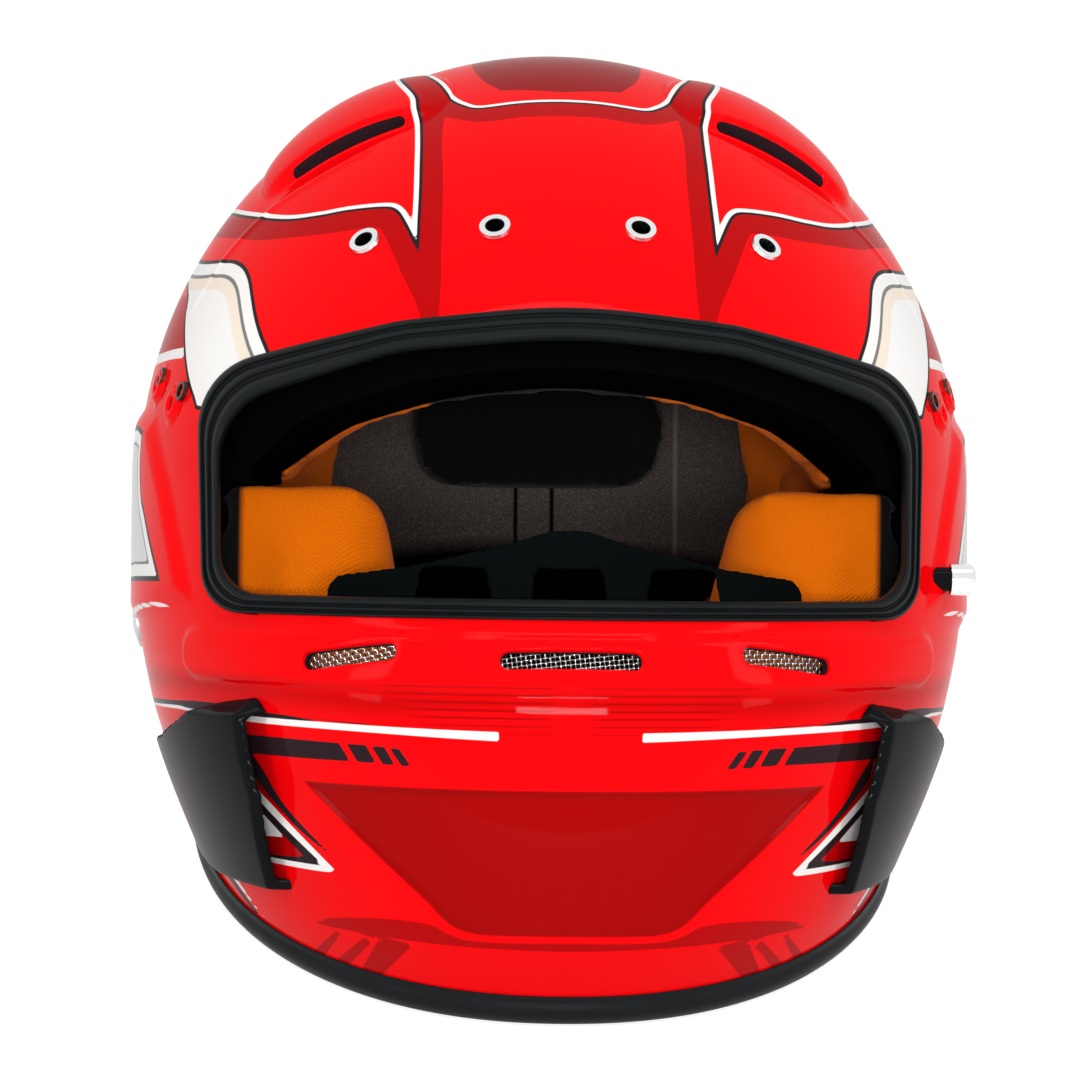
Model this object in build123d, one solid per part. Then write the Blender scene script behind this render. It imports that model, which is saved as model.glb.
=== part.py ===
from build123d import *
import math
import os

# A full-face auto racing helmet, shown bare of its visor. Millimetres.
# It is shaped as worn: X to the wearer's left, -Y ahead, Z up.
# At the end every piece is leaned back so that it stands on its lower trim.

# Shell
shell_width = 255.0            # across the widest ring
shell_front = 172.0            # chin reach ahead of the crown axis
shell_rear = 159.0             # rear reach behind it
ring_height = 150.0            # height of the widest ring above the worn datum
crown_rise = 134.0             # from the widest ring to the crown
crown_set_back = 8.0           # crown behind the axis
shell_wall = 3.5
rim_slope = 13.36              # degrees that the rim plane rises to the rear
rim_height = 44.1              # rim plane above the worn datum, at the crown axis
fit = 0.3                      # clearance between pieces that follow the shell
pin_fit = 0.15                 # clearance round a shank in its hole
overrun = 30.0                 # how far a cut runs past what it cuts

# Section shares from the rim to the crown: height (1 is the widest ring, 2 the crown),
# half width, front reach, rear reach, and the squareness of the ring
section_share = [
    (-0.100, 0.690, 0.791, 0.528, 2.15),
    (0.053, 0.741, 0.884, 0.579, 2.15),
    (0.187, 0.800, 0.965, 0.616, 2.15),
    (0.400, 0.898, 0.994, 0.704, 2.15),
    (0.573, 0.965, 1.000, 0.799, 2.15),
    (0.747, 0.998, 0.965, 0.881, 2.12),
    (1.000, 1.000, 0.919, 0.931, 2.08),
    (1.313, 1.000, 0.866, 0.975, 2.05),
    (1.672, 1.000, 0.802, 1.000, 2.00),
    (2.000, 1.000, 0.744, 0.975, 2.00),
]
ring_share = (-0.10, 0.10, 0.33, 0.56, 0.78, 1.0)
crown_step_degrees = (18, 36, 53, 68, 80)
ring_points = 16

# Eyeport and its gasket
eyeport_half_width = 105.5     # outer edge of the gasket
eyeport_height = 85.5
eyeport_floor = 110.5
eyeport_bottom_corner = 12.0
eyeport_top_corner = 20.0
eyeport_brow_radius = 60.0
eyeport_crest_radius = 180.0
gasket_lap = 3.4               # how far the gasket laps over the shell edge
gasket_proud = 2.6
funnel_taper = 9.0             # degrees, the opening in the foam behind the gasket
funnel_depth = 130.0
gasket_outer_share = [(0.0, 1.0), (0.445, 0.947), (1.0, 0.801), (0.967, 0.0)]
gasket_inner_share = [(0.0, 0.865), (0.445, 0.819), (0.934, 0.655), (0.919, 0.064)]

# Lower trim
trim_height = 9.0
trim_seat = 3.4                # from the trim's foot to the shell edge
trim_proud = 2.3

# Chin bar
band_height = 14.0
band_half_width = 107.0
band_middle = 99.0
band_corner = 6.0
band_proud = 1.5
vent_height = 5.0
vent_level = 99.9
vent_side_place = 59.5
vent_side_width = 28.5
vent_middle_width = 38.5
mesh_wall = 1.0
mesh_lap = 2.2
panel_top = 65.0
panel_bottom = 26.5
panel_top_half = 75.0
panel_bottom_half = 33.0
panel_corner = 5.0
panel_depth = 0.8

# Crown scoops, moulded in the shell
scoop_x = 63.0
scoop_y = -58.0
scoop_half_width = 32.0
scoop_half_length = 31.0
scoop_proud = 5.6
scoop_bite = 14.0              # how much of the hump's front the mouth cuts away
scoop_slot = 38.0
scoop_gap = 2.4
scoop_depth = 15.0

# Visor bosses and their threaded inserts
boss_places = [(-50.0, 179.0), (-74.0, 174.0)]
boss_diameter = 10.0
boss_proud = 1.4
boss_root = 2.0
insert_diameter = 6.0
insert_thread = 4.0
insert_length = 4.4

# Eyelets over the brow
eyelet_places = [(57.0, 216.0), (20.4, 219.4)]
eyelet_outside = 9.4
eyelet_hole = 5.0
eyelet_barrel = 6.6
eyelet_flange = 1.3
eyelet_inside = 1.0

# Foam and soft lining, as depths below the shell's outer face
foam_wall = 30.0
comfort_wall = 7.0
chin_foam_wall = 24.0
chin_foam_top = 108.0
chin_foam_back = 96.0          # ahead of the axis, where the cheek pads begin
lining_floor = 13.0            # above the trim's foot
neck_roll_height = 30.0
neck_roll_wall = 22.0
cheek_back = 32.0
cheek_top = 147.0
cheek_floor = 25.0             # above the trim's foot and a strap swung forward
cheek_core_wall = 16.0
cheek_pad_face = 50.0          # inner face of a cheek pad, from the middle plane
cheek_pad_round = 14.0
cheek_wrap = 6.0               # padding carried over the core's front end
cheek_wrap_depth = 8.0         # how far below the shell's outer face it ends
snap_places = [(-60.0, 122.0), (-60.0, 84.0), (14.0, 96.0)]
snap_diameter = 12.0
snap_wall = 2.4
nape_pad_half = 42.0
nape_pad_low = 150.0
nape_pad_high = 188.0
nape_pad_round = 14.0
nape_pad_wall = 17.0
crown_pad_low = 238.0
comfort_brow = [(-150.0, 170.0), (-150.0, 212.0), (-40.0, 226.0), (72.0, 226.0), (72.0, 118.0)]
comfort_lower = [(33.0, 118.0), (33.0, 148.0), (-62.0, 148.0), (-82.0, 160.0)]

# Breath deflector
deflector_depth = 12.0
deflector_wall = 2.0
deflector_edge = [(0.0, 136.5), (14.0, 131.5), (42.0, 124.8), (63.0, 121.7), (66.0, 118.6)]
deflector_peak_round = 24.0
deflector_notch_width = 17.5
deflector_notch_foot = 21.5
deflector_notch_pitch = 31.5
deflector_notch_top = 124.0
deflector_notch_round = 1.5

# Side deflectors on the chin
fin_shift = (1.0, -13.0)       # how far the fin's outer face stands out and ahead of the shell
fin_wall = 3.0
fin_roof = (-122.0, 87.0)      # a place where the roof leaves the shell
fin_roof_fall = 27.0           # degrees that the roof falls outwards
fin_hollow_back = -72.0
fin_tail_round = 8.0
fin_start = 45.0               # from the middle plane, well inside the shell
fin_outline = [(-131.0, 88.0), (-135.5, 82.5), (-134.5, 60.0), (-122.0, 33.5), (-77.0, 34.0), (-32.0, 38.0),
               (-6.0, 46.0), (2.0, 55.0), (-8.0, 64.0), (-32.0, 70.0), (-70.0, 74.0), (-97.0, 79.5),
               (-118.0, 86.0)]

# Shield post on the left of the eyeport
post_y = -89.0
post_z = 122.0
post_shank = 4.0
post_collar = 7.0
post_collar_reach = 113.5
post_collar_root = 6.0
post_root = 4.4
post_head = 9.2
post_head_length = 7.0
post_bevel = 1.0

# Chin straps, their bolts and rings
bolt_z = 105.0
bolt_head = 16.0
bolt_head_height = 2.5
bolt_shank = 6.0
bolt_inner_head = 12.0
bolt_inner_height = 1.6
plate_wall = 1.6
plate_gap = 4.2                # from the shell's inner face to the plate
plate_width = 32.0
plate_above = 11.0
plate_below = 16.0
plate_bar = 3.2
plate_slot = 26.0
plate_slot_height = 4.4
plate_corner = 5.0
webbing_wall = 1.6
webbing_width = 25.0
webbing_gap = 0.2
strap_swing = 10.0             # degrees each way
strap_route = [(106.8, 73.0), (98.0, 51.0), (78.0, 46.0)]
strap_level = 46.0
strap_ring_end = 36.0
strap_tail_end = 14.0
strap_tail_back = 62.0
strap_fold = 2.2
strap_bend = 9.0
channel_depth = 11.5
channel_spread = 3.0
strap_relief = 13.0            # room above the strap's low run, through the cheek core
channel_top = 120.0
ring_wire_diameter = 3.6
ring_half_width = 14.9
ring_reach = 21.0
ring_spacing = 4.6
ring_lift = 65.0               # rest angle of the upper ring
ring_corner = 2.2
ring_bow = 12.0
tail_button = 11.0
tail_button_height = 2.0
tail_button_place = 50.0

# Head restraint inserts at the rear
restraint_y = 104.0
restraint_z = 116.0
restraint_flange = 15.0
restraint_flange_height = 1.5
restraint_barrel = 9.0
restraint_thread = 6.0
restraint_length = 7.0

# Crown vents
crown_vent_x = 31.0
crown_vent_y = 46.0
crown_vent_length = 30.0
crown_vent_width = 11.0
crown_vent_height = 7.0
crown_vent_sink = 3.4
crown_vent_round = 3.2


def share_at(level, column):
    """Monotone cubic through the section shares."""
    heights = [row[0] for row in section_share]
    values = [row[column] for row in section_share]
    count = len(heights)
    steps = [heights[i + 1] - heights[i] for i in range(count - 1)]
    slopes = [(values[i + 1] - values[i]) / steps[i] for i in range(count - 1)]
    tangents = [slopes[0]] + [0.0] * (count - 2) + [slopes[-1]]
    for i in range(1, count - 1):
        before, after = slopes[i - 1], slopes[i]
        if before * after > 0:
            tangents[i] = 2 * before * after / (before + after)
    i = 0
    while i < count - 2 and level > heights[i + 1]:
        i += 1
    t = (level - heights[i]) / steps[i]
    return (
        (1 + 2 * t) * (1 - t) ** 2 * values[i]
        + t * (1 - t) ** 2 * steps[i] * tangents[i]
        + t * t * (3 - 2 * t) * values[i + 1]
        + t * t * (t - 1) * steps[i] * tangents[i + 1]
    )


def ring_at(height, grow=0.0):
    """Half width, front reach, rear reach, middle and squareness of the grown shell at a height."""
    rise = crown_rise + grow
    t = min(1.0, max(0.0, (height - ring_height) / rise))
    pull = math.sqrt(1 - t * t)
    level = height / ring_height
    if height > ring_height:
        level = 1 + min(1.0, (height - ring_height) / crown_rise)
    half, front, rear, square = (share_at(level, column) for column in (1, 2, 3, 4))
    return (
        (shell_width / 2 * half + grow) * pull,
        (shell_front * front + grow) * pull,
        (shell_rear * rear + grow) * pull,
        crown_set_back * t,
        square,
    )


def side_x(y, height, grow=0.0):
    """Half width of the grown shell at a place along it."""
    half, front, rear, middle, square = ring_at(height, grow)
    reach = front if y < middle else rear
    return half * max(0.0, 1 - abs((y - middle) / reach) ** square) ** (1 / square)


def front_y(x, height, grow=0.0):
    """Front face of the grown shell."""
    half, front, rear, middle, square = ring_at(height, grow)
    return middle - front * max(0.0, 1 - abs(x / half) ** square) ** (1 / square)


def top_z(x, y):
    """Height of the shell's upper face above a place."""
    low, high = ring_height, ring_height + crown_rise
    for _ in range(40):
        height = (low + high) / 2
        inside = y > front_y(x, height) and abs(x) < side_x(y, height)
        low, high = (height, high) if inside else (low, height)
    return low


def ring_wire(height, grow):
    half, front, rear, middle, square = ring_at(height, grow)
    points = []
    for i in range(ring_points):
        turn = 2 * math.pi * i / ring_points + math.pi / 2
        across, along = math.cos(turn), math.sin(turn)
        reach = rear if along > 0 else front
        x = half * math.copysign(abs(across) ** (2 / square), across)
        y = middle + reach * math.copysign(abs(along) ** (2 / square), along)
        points.append(Vector(x, y, height))
    return Wire([Edge.make_spline(points, periodic=True)])


skins = {}


def skin(grow):
    """The whole outer form of the helmet as a solid, grown by a depth all over."""
    if grow not in skins:
        rise = crown_rise + grow
        heights = [ring_height * share for share in ring_share]
        heights += [ring_height + rise * math.sin(math.radians(a)) for a in crown_step_degrees]
        rings = [ring_wire(height, grow) for height in heights]
        skins[grow] = Solid.make_loft(rings + [Vertex(0, crown_set_back, ring_height + rise)])
    return skins[grow]


far = 2 * shell_width
rim_plane = Location((0, 0, rim_height), (rim_slope, 0, 0))


def above_foot(low, high):
    """Slab square to the rim, between two heights above the trim's foot."""
    slab = Box(far, far, high - low, align=(Align.CENTER, Align.CENTER, Align.MIN))
    return rim_plane * Pos(0, 0, low - trim_height) * slab


def room(x=(-far, far), y=(-far, far), z=(-far, far)):
    """Box between limits in the worn frame."""
    box = Box(x[1] - x[0], y[1] - y[0], z[1] - z[0], align=Align.MIN)
    return Pos(x[0], y[0], z[0]) * box


def front_prism(face, back=-overrun):
    """A face drawn in X and Z as seen from ahead, carried back from ahead of the chin."""
    start = -shell_front - overrun
    drawn = Plane(origin=(0, start, 0), x_dir=(1, 0, 0), z_dir=(0, -1, 0)) * face
    return extrude(drawn, amount=back - start, dir=(0, 1, 0))


def side_prism(points, low=-far, high=far):
    """An outline drawn in Y and Z, carried along X."""
    face = make_face(Polyline([(low, y, z) for y, z in points], close=True))
    return extrude(face, amount=high - low, dir=(1, 0, 0))


def between(outer, inner, keep):
    """What a shape keeps of the space between two depths of the shell."""
    return (skin(outer) & keep) - skin(inner)


def turned(points):
    """Solid of revolution about Z from an outline of radii and heights."""
    face = make_face(Polyline([(r, 0, h) for r, h in points], close=True))
    return revolve(face, Axis.Z, 360)


def mirrored(shape):
    return mirror(shape, Plane.YZ)


def eyeport_face(shares, grow=0.0):
    right = [(eyeport_half_width * u, eyeport_floor + eyeport_height * v) for u, v in shares]
    left = [(-x, z) for x, z in reversed(right[1:])]
    face = make_face(Polyline(right + left, close=True))
    radii = (eyeport_crest_radius, eyeport_brow_radius, eyeport_top_corner, eyeport_bottom_corner)
    for (x, z), radius in zip(right, radii):
        corners = [v for v in face.vertices() if abs(abs(v.X) - x) < fit and abs(v.Y - z) < fit]
        face = fillet(corners, radius)
    return offset(face, grow) if grow else face


def eyeport_prism(shares, grow=0.0):
    return front_prism(eyeport_face(shares, grow))


def funnel():
    """The opening through foam and lining, closing in as it goes back."""
    mouth = Plane(origin=(0, -shell_front, 0), x_dir=(1, 0, 0), z_dir=(0, -1, 0))
    drawn = mouth * mirror(eyeport_face(gasket_inner_share, fit), Plane.YZ)
    return extrude(drawn, amount=funnel_depth, dir=(0, 1, 0), taper=funnel_taper)


def front_plane(x, z):
    """Plane lying on the front of the shell, its normal outwards."""
    step = shell_wall
    across = Vector(2 * step, front_y(x + step, z) - front_y(x - step, z), 0)
    up = Vector(0, front_y(x, z + step) - front_y(x, z - step), 2 * step)
    return Plane(origin=(x, front_y(x, z), z), x_dir=across, z_dir=across.cross(up))


def side_plane(y, z):
    """Plane lying on the left side of the shell: x up the shell, its normal outwards."""
    step = shell_wall
    along = Vector(side_x(y + step, z) - side_x(y - step, z), 2 * step, 0)
    up = Vector(side_x(y, z + step) - side_x(y, z - step), 0, 2 * step)
    return Plane(origin=(side_x(y, z), y, z), x_dir=up, z_dir=along.cross(up))


def top_plane(x, y):
    """Plane lying on the crown: x across, its normal outwards."""
    step = shell_wall
    across = Vector(2 * step, 0, top_z(x + step, y) - top_z(x - step, y))
    along = Vector(0, 2 * step, top_z(x, y + step) - top_z(x, y - step))
    return Plane(origin=(x, y, top_z(x, y)), x_dir=across, z_dir=across.cross(along))


def post(radius, low, high):
    """Cylinder on Z between two heights."""
    rod = Cylinder(radius, high - low, align=(Align.CENTER, Align.CENTER, Align.MIN))
    return Pos(0, 0, low) * rod


def both(shape):
    return [shape, mirrored(shape)]


bolt_place = side_plane(0.0, bolt_z)
boss_planes = [side_plane(y, z) for y, z in boss_places]
eyelet_planes = [front_plane(x, z) for x, z in eyelet_places]
restraint_place = side_plane(restraint_y, restraint_z)
scoop_place = top_plane(scoop_x, scoop_y)
vent_slots = {
    "left": (vent_side_place, vent_side_width),
    "center": (0.0, vent_middle_width),
    "right": (-vent_side_place, vent_side_width),
}


def vent_prism(name, grow=0.0):
    place, width = vent_slots[name]
    slot = SlotOverall(width + 2 * grow, vent_height + 2 * grow)
    return front_prism(Pos(place, vent_level) * slot, -2 * overrun)


def outer_shell():
    band_face = RectangleRounded(2 * band_half_width, band_height, band_corner)
    band = skin(band_proud) & front_prism(Pos(0, band_middle) * band_face)
    stretch = (scoop_half_width / scoop_proud, scoop_half_length / scoop_proud, 1)
    ellipsoid = scale(Sphere(scoop_proud), by=stretch)
    behind = Box(far, far, far, align=(Align.CENTER, Align.MIN, Align.CENTER))
    hump = scoop_place * (Pos(0, scoop_half_length - scoop_bite, 0) * ellipsoid & behind)
    added = [band] + both(hump)
    for plane in boss_planes:
        added += both(plane * post(boss_diameter / 2, -boss_root, boss_proud))
    corners = [(-panel_top_half, panel_top), (panel_top_half, panel_top)]
    corners += [(panel_bottom_half, panel_bottom), (-panel_bottom_half, panel_bottom)]
    panel = make_face(Polyline(corners, close=True))
    panel = fillet(panel.vertices(), panel_corner)
    removed = [skin(-shell_wall), eyeport_prism(gasket_outer_share, -gasket_lap)]
    removed += [front_prism(panel) - skin(-panel_depth)]
    removed += [vent_prism(name) for name in vent_slots]
    mouth = Box(scoop_slot, scoop_depth + overrun, scoop_gap, align=(Align.CENTER, Align.MAX, Align.MIN))
    removed += both(scoop_place * Pos(0, scoop_depth, fit) * mouth)
    for plane in boss_planes:
        removed += both(plane * post(insert_diameter / 2 + pin_fit, -overrun, overrun))
    for plane in eyelet_planes:
        removed += both(plane * post(eyelet_barrel / 2 + pin_fit, -overrun, overrun))
    removed += both(bolt_place * post(bolt_shank / 2 + pin_fit, -overrun, overrun))
    removed += both(restraint_place * post(restraint_barrel / 2 + pin_fit, -overrun, overrun))
    removed += [post_hole(), above_foot(-far, trim_seat)]
    return skin(0.0) + added - removed


def post_rod(radius, start, reach):
    """Rod along X at the shield post."""
    return Plane(origin=(start, post_y, post_z), z_dir=(1, 0, 0)) * post(radius, 0, reach - start)


def post_hole():
    reach = side_x(post_y, post_z)
    return post_rod(post_shank / 2 + pin_fit, reach - overrun, reach + overrun)


def eyeport_gasket():
    """A grooved lip over the shell's edge and a bulb that closes the edge."""
    edge = -gasket_lap - fit
    lip = eyeport_prism(gasket_outer_share) - eyeport_prism(gasket_outer_share, edge)
    bulb = eyeport_prism(gasket_outer_share, edge) - eyeport_prism(gasket_inner_share)
    return between(gasket_proud, fit, lip) + between(gasket_proud, -shell_wall, bulb)


def lower_trim():
    """A channel that grips the shell's edge all round."""
    whole = between(trim_proud, -shell_wall - trim_proud, above_foot(0, trim_height))
    return whole - between(fit, -shell_wall - fit, above_foot(trim_seat - fit, trim_height + fit))


lining_outside = -shell_wall - fit
foam_inside = lining_outside - foam_wall


def eps_crown_liner():
    outline = [(-far, cheek_top + fit), (cheek_back + fit, cheek_top + fit), (cheek_back + fit, -far)]
    outline += [(far, -far), (far, far), (-far, far)]
    keep = side_prism(outline) & above_foot(lining_floor + neck_roll_height + fit, far)
    keep -= funnel()
    holes = []
    for plane in eyelet_planes:
        holes += both(plane * post(eyelet_outside / 2 + fit, -foam_wall / 2, overrun))
    for plane in boss_planes:
        holes += both(plane * post(insert_diameter / 2 + fit, -insert_length - fit, overrun))
    holes += both(restraint_place * post(restraint_barrel / 2 + fit, -restraint_length - fit, overrun))
    return between(lining_outside, foam_inside, keep - holes)


def eps_chin_liner():
    keep = room(y=(-far, -chin_foam_back), z=(-far, chin_foam_top)) & above_foot(lining_floor, far)
    keep -= [vent_prism(name, mesh_lap + fit) for name in vent_slots]
    return between(lining_outside, lining_outside - chin_foam_wall, keep)


def chin_vent_mesh(name):
    return between(lining_outside, lining_outside - mesh_wall, vent_prism(name, mesh_lap))


cheek_front = fit - chin_foam_back


def strap_channel():
    """Room for a chin strap to swing, cut from a cheek core."""
    half = plate_width / 2 + channel_spread
    spread = (bolt_z - strap_level) * math.tan(math.radians(strap_swing))
    outline = [(-half, channel_top), (half, channel_top)]
    outline += [(half, bolt_z), (half + spread, strap_level), (half + spread, -far)]
    outline += [(-half - spread, -far), (-half - spread, strap_level), (-half, bolt_z)]
    under = room(x=(0, far), y=(-half - spread, half + spread), z=(-far, strap_level + strap_relief))
    return [side_prism(outline, 0, far) - skin(-shell_wall - channel_depth), under]


core_inside = lining_outside - cheek_core_wall


def snap_posts(grow, low):
    """Snaps let into the inner face of a cheek core."""
    high = core_inside + fit + snap_wall + grow
    return [side_plane(y, z) * post(snap_diameter / 2 + grow, low, high) for y, z in snap_places]


def cheek_core():
    post_room = post_rod(post_shank / 2 + fit, side_x(post_y, post_z) - overrun, far)
    block = room(x=(0, far), y=(cheek_front + cheek_wrap + fit, cheek_back), z=(-far, cheek_top))
    keep = (block & above_foot(cheek_floor, far)) - [funnel(), post_room] - strap_channel()
    return between(lining_outside, core_inside, keep) - snap_posts(fit, core_inside - snap_wall)


def cheek_snaps():
    left = snap_posts(0, core_inside + fit)
    return Compound(left + [mirrored(snap) for snap in left])


def cheek_pad():
    """Pad inside the left cheek core, with a lip carried outwards over the core's front end."""
    pad = room(x=(cheek_pad_face, far), y=(cheek_front, cheek_back), z=(-overrun, cheek_top))
    inner = pad.edges().filter_by(Axis.Z).group_by(Axis.X)[0]
    brow = pad.faces().sort_by(Axis.Z)[-1].edges().sort_by(Axis.X)[:1]
    pad = fillet(list(inner) + list(brow), cheek_pad_round)
    lip_start = cheek_pad_face + cheek_pad_round
    lip = room(x=(lip_start, far), y=(cheek_front, cheek_front + cheek_wrap), z=(-overrun, cheek_top))
    whole = (skin(core_inside - fit) & pad) + (skin(-cheek_wrap_depth) & lip)
    return whole & above_foot(cheek_floor, far)


def comfort_liner():
    keep = side_prism(comfort_brow + comfort_lower) - funnel()
    across = (-nape_pad_half - fit, nape_pad_half + fit)
    nape = room(x=across, y=(0, far), z=(nape_pad_low - fit, nape_pad_high + fit))
    outside = foam_inside - fit
    return between(outside, outside - comfort_wall, keep - nape)


def crown_pad():
    outside = foam_inside - fit
    return between(outside, outside - comfort_wall, room(z=(crown_pad_low, far)))


def nape_pad():
    face = RectangleRounded(2 * nape_pad_half, nape_pad_high - nape_pad_low, nape_pad_round)
    block = Plane(origin=(0, 0, (nape_pad_low + nape_pad_high) / 2), x_dir=(1, 0, 0), z_dir=(0, -1, 0)) * face
    outside = foam_inside - fit
    return between(outside, outside - nape_pad_wall, extrude(block, amount=far, dir=(0, 1, 0)))


def neck_roll():
    keep = above_foot(lining_floor, lining_floor + neck_roll_height) & room(y=(cheek_back + fit, far))
    return between(lining_outside, lining_outside - neck_roll_wall, keep)


def breath_deflector():
    floor = chin_foam_top + fit
    right = deflector_edge + [(deflector_edge[-1][0], floor)]
    left = [(-x, z) for x, z in reversed(right[1:])]
    face = make_face(Polyline(right + left, close=True))
    face = fillet(face.vertices().sort_by(Axis.Y)[-1], deflector_peak_round)
    sill = floor + deflector_wall
    low, high = deflector_notch_foot / 2, deflector_notch_width / 2
    corners = [(-low, sill), (low, sill), (high, deflector_notch_top), (-high, deflector_notch_top)]
    notch = make_face(Polyline(corners, close=True))
    notch = fillet(notch.vertices().group_by(Axis.Y)[-1], deflector_notch_round)
    face -= [Pos(i * deflector_notch_pitch, 0) * notch for i in (-1, 0, 1)]
    return between(-deflector_depth, -deflector_depth - deflector_wall, front_prism(face, -2 * overrun))


def side_deflector():
    """Hollow fin on the left of the chin: open ahead, closed above, behind and below."""
    out, ahead = fin_shift
    moved = Pos(out, ahead, 0)
    side = make_face(Polyline(fin_outline, close=True))
    side = fillet(side.vertices().sort_by(Axis.X)[-3:], fin_tail_round)
    behind = Rectangle(far, far, align=(Align.MIN, Align.CENTER))
    inside = offset(side, -fin_wall) - Pos(fin_hollow_back, 0) * behind
    inside += Pos(ahead, 0) * inside
    roof = side_plane(*fin_roof) * Rot(0, -fin_roof_fall, 0)
    above = Box(far, far, far, align=(Align.MIN, Align.CENTER, Align.CENTER))
    drawing = Plane.YZ.offset(fin_start)
    body = (extrude(drawing * side, amount=far) - skin(fit)) & (moved * skin(0.0))
    hollow = (moved * skin(-fin_wall)) & extrude(drawing * inside, amount=far)
    return body - roof * above - (hollow - roof * Pos(-fin_wall, 0, 0) * above)


def eyelet():
    outer, barrel, hole = eyelet_outside / 2, eyelet_barrel / 2, eyelet_hole / 2
    inside = lining_outside
    outline = [(hole, inside - eyelet_inside), (hole + fit, eyelet_flange), (outer - fit, eyelet_flange)]
    outline += [(outer, fit), (barrel, fit), (barrel, inside), (outer - fit, inside)]
    outline += [(outer - fit, inside - eyelet_inside)]
    return turned(outline)


def visor_insert():
    return post(insert_diameter / 2, -insert_length, boss_proud) - post(insert_thread / 2, -far, far)


def restraint_insert():
    flange = post(restraint_flange / 2, fit, restraint_flange_height + fit)
    barrel = post(restraint_barrel / 2, -restraint_length, fit)
    return flange + barrel - post(restraint_thread / 2, -far, far)


def strap_bolt():
    """Domed head outside, shank through shell and strap plate, spread end inside."""
    inner = -shell_wall - plate_gap - plate_wall - pin_fit
    head, shank, tail = bolt_head / 2, bolt_shank / 2, bolt_inner_head / 2
    outline = [(0, bolt_head_height), (head / 2, bolt_head_height), (head, bolt_head_height / 2), (head, fit)]
    outline += [(shank, fit), (shank, inner), (tail, inner), (tail, inner - bolt_inner_height)]
    outline += [(0, inner - bolt_inner_height)]
    return bolt_place * turned(outline)


def strap_plate():
    """Steel tongue that turns on the bolt and holds the webbing in its slot."""
    deep = -shell_wall - plate_gap - plate_wall
    middle = (plate_above - plate_below) / 2
    face = Pos(middle, 0) * RectangleRounded(plate_above + plate_below, plate_width, plate_corner)
    face -= Circle(bolt_shank / 2 + pin_fit / 2)
    slot = plate_bar + plate_slot_height / 2 - plate_below
    face -= Pos(slot, 0) * Rectangle(plate_slot_height, plate_slot)
    return bolt_place * Pos(0, 0, deep) * extrude(face, amount=plate_wall)


def webbing(points, bends):
    """Flat webbing along a route drawn in X and Z."""
    path = FilletPolyline([Vector(x, 0, z) for x, z in points], radius=bends)
    start = Plane(origin=path @ 0, x_dir=(0, 1, 0), z_dir=path % 0)
    return sweep(start * Rectangle(webbing_width, webbing_wall), path=path)


def strap_loop():
    """Webbing sewn round the plate's bar, and the place where it leaves the bar."""
    bar = plate_bar / 2 - plate_below
    depth = -shell_wall - plate_gap - plate_wall / 2
    wide, tall = plate_bar + 2 * webbing_gap, plate_wall + 2 * webbing_gap
    outer = RectangleRounded(wide + 2 * webbing_wall, tall + 2 * webbing_wall, webbing_wall)
    middle = bolt_place.from_local_coords(Vector(bar, 0, depth))
    frame = Plane(origin=middle, x_dir=bolt_place.x_dir, z_dir=(0, -1, 0))
    loop = extrude(frame * (outer - Rectangle(wide, tall)), amount=webbing_width / 2, both=True)
    leave = bolt_place.from_local_coords(Vector(bar - wide / 2 - webbing_wall / 2, 0, depth))
    return loop, (leave.X, leave.Z)


sleeve_length = ring_spacing + ring_wire_diameter + 2 * webbing_gap
sleeve_height = ring_wire_diameter + 2 * webbing_gap
sleeve_x = strap_ring_end - webbing_wall - sleeve_length / 2


def ring_strap():
    """Short left strap: its end is sewn into a sleeve that holds both rings."""
    loop, leave = strap_loop()
    strap = webbing([leave] + strap_route + [(strap_ring_end, strap_level)], strap_bend)
    outer = RectangleRounded(sleeve_length + 2 * webbing_wall, sleeve_height + 2 * webbing_wall, webbing_wall)
    frame = Plane(origin=(sleeve_x, 0, strap_level), x_dir=(1, 0, 0), z_dir=(0, -1, 0))
    inner = Rectangle(sleeve_length, sleeve_height)
    sleeve = extrude(frame * (outer - inner), amount=webbing_width / 2, both=True)
    return strap + loop + sleeve


def tail_strap():
    """Long right strap, drawn on the left: its end is folded back on itself."""
    loop, leave = strap_loop()
    upper = strap_level + 2 * strap_fold + webbing_gap / 2
    turn = [(strap_tail_end, strap_level), (strap_tail_end, upper), (strap_tail_back, upper)]
    bends = [strap_bend] * len(strap_route) + [strap_fold] * 2
    return mirrored(webbing([leave] + strap_route + turn, bends) + loop)


def tail_snap():
    """Cap and socket that hold the folded tail."""
    low = strap_level - webbing_wall / 2 - tail_button_height
    high = strap_level + 2 * strap_fold + webbing_gap / 2 + webbing_wall / 2
    caps = [post(tail_button / 2, start, start + tail_button_height) for start in (low, high)]
    return Compound([Pos(-tail_button_place, 0, 0) * cap for cap in caps])


def d_ring(place, lift):
    """Bent wire ring: a straight bar on Y and a bow ahead of it."""
    width, reach = ring_half_width, ring_reach
    corners = [(0, 0, 0), (0, width, 0), (-reach, width, 0), (-reach, 0, 0)]
    path = FilletPolyline([Vector(*corner) for corner in corners], radius=[ring_corner, ring_bow])
    start = Plane(origin=path @ 0, z_dir=path % 0)
    half = sweep(start * Circle(ring_wire_diameter / 2), path=path)
    ring = half + mirror(half, Plane.XZ)
    return Pos(place, 0, strap_level) * Rot(0, lift, 0) * ring


lower_ring_x = sleeve_x - ring_spacing / 2
upper_ring_x = sleeve_x + ring_spacing / 2


def shield_post_stem():
    root = side_x(post_y, post_z)
    collar = post_rod(post_collar / 2, root - post_collar_root, post_collar_reach) - skin(fit)
    return collar + post_rod(post_shank / 2, root - post_root, post_collar_reach)


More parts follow.
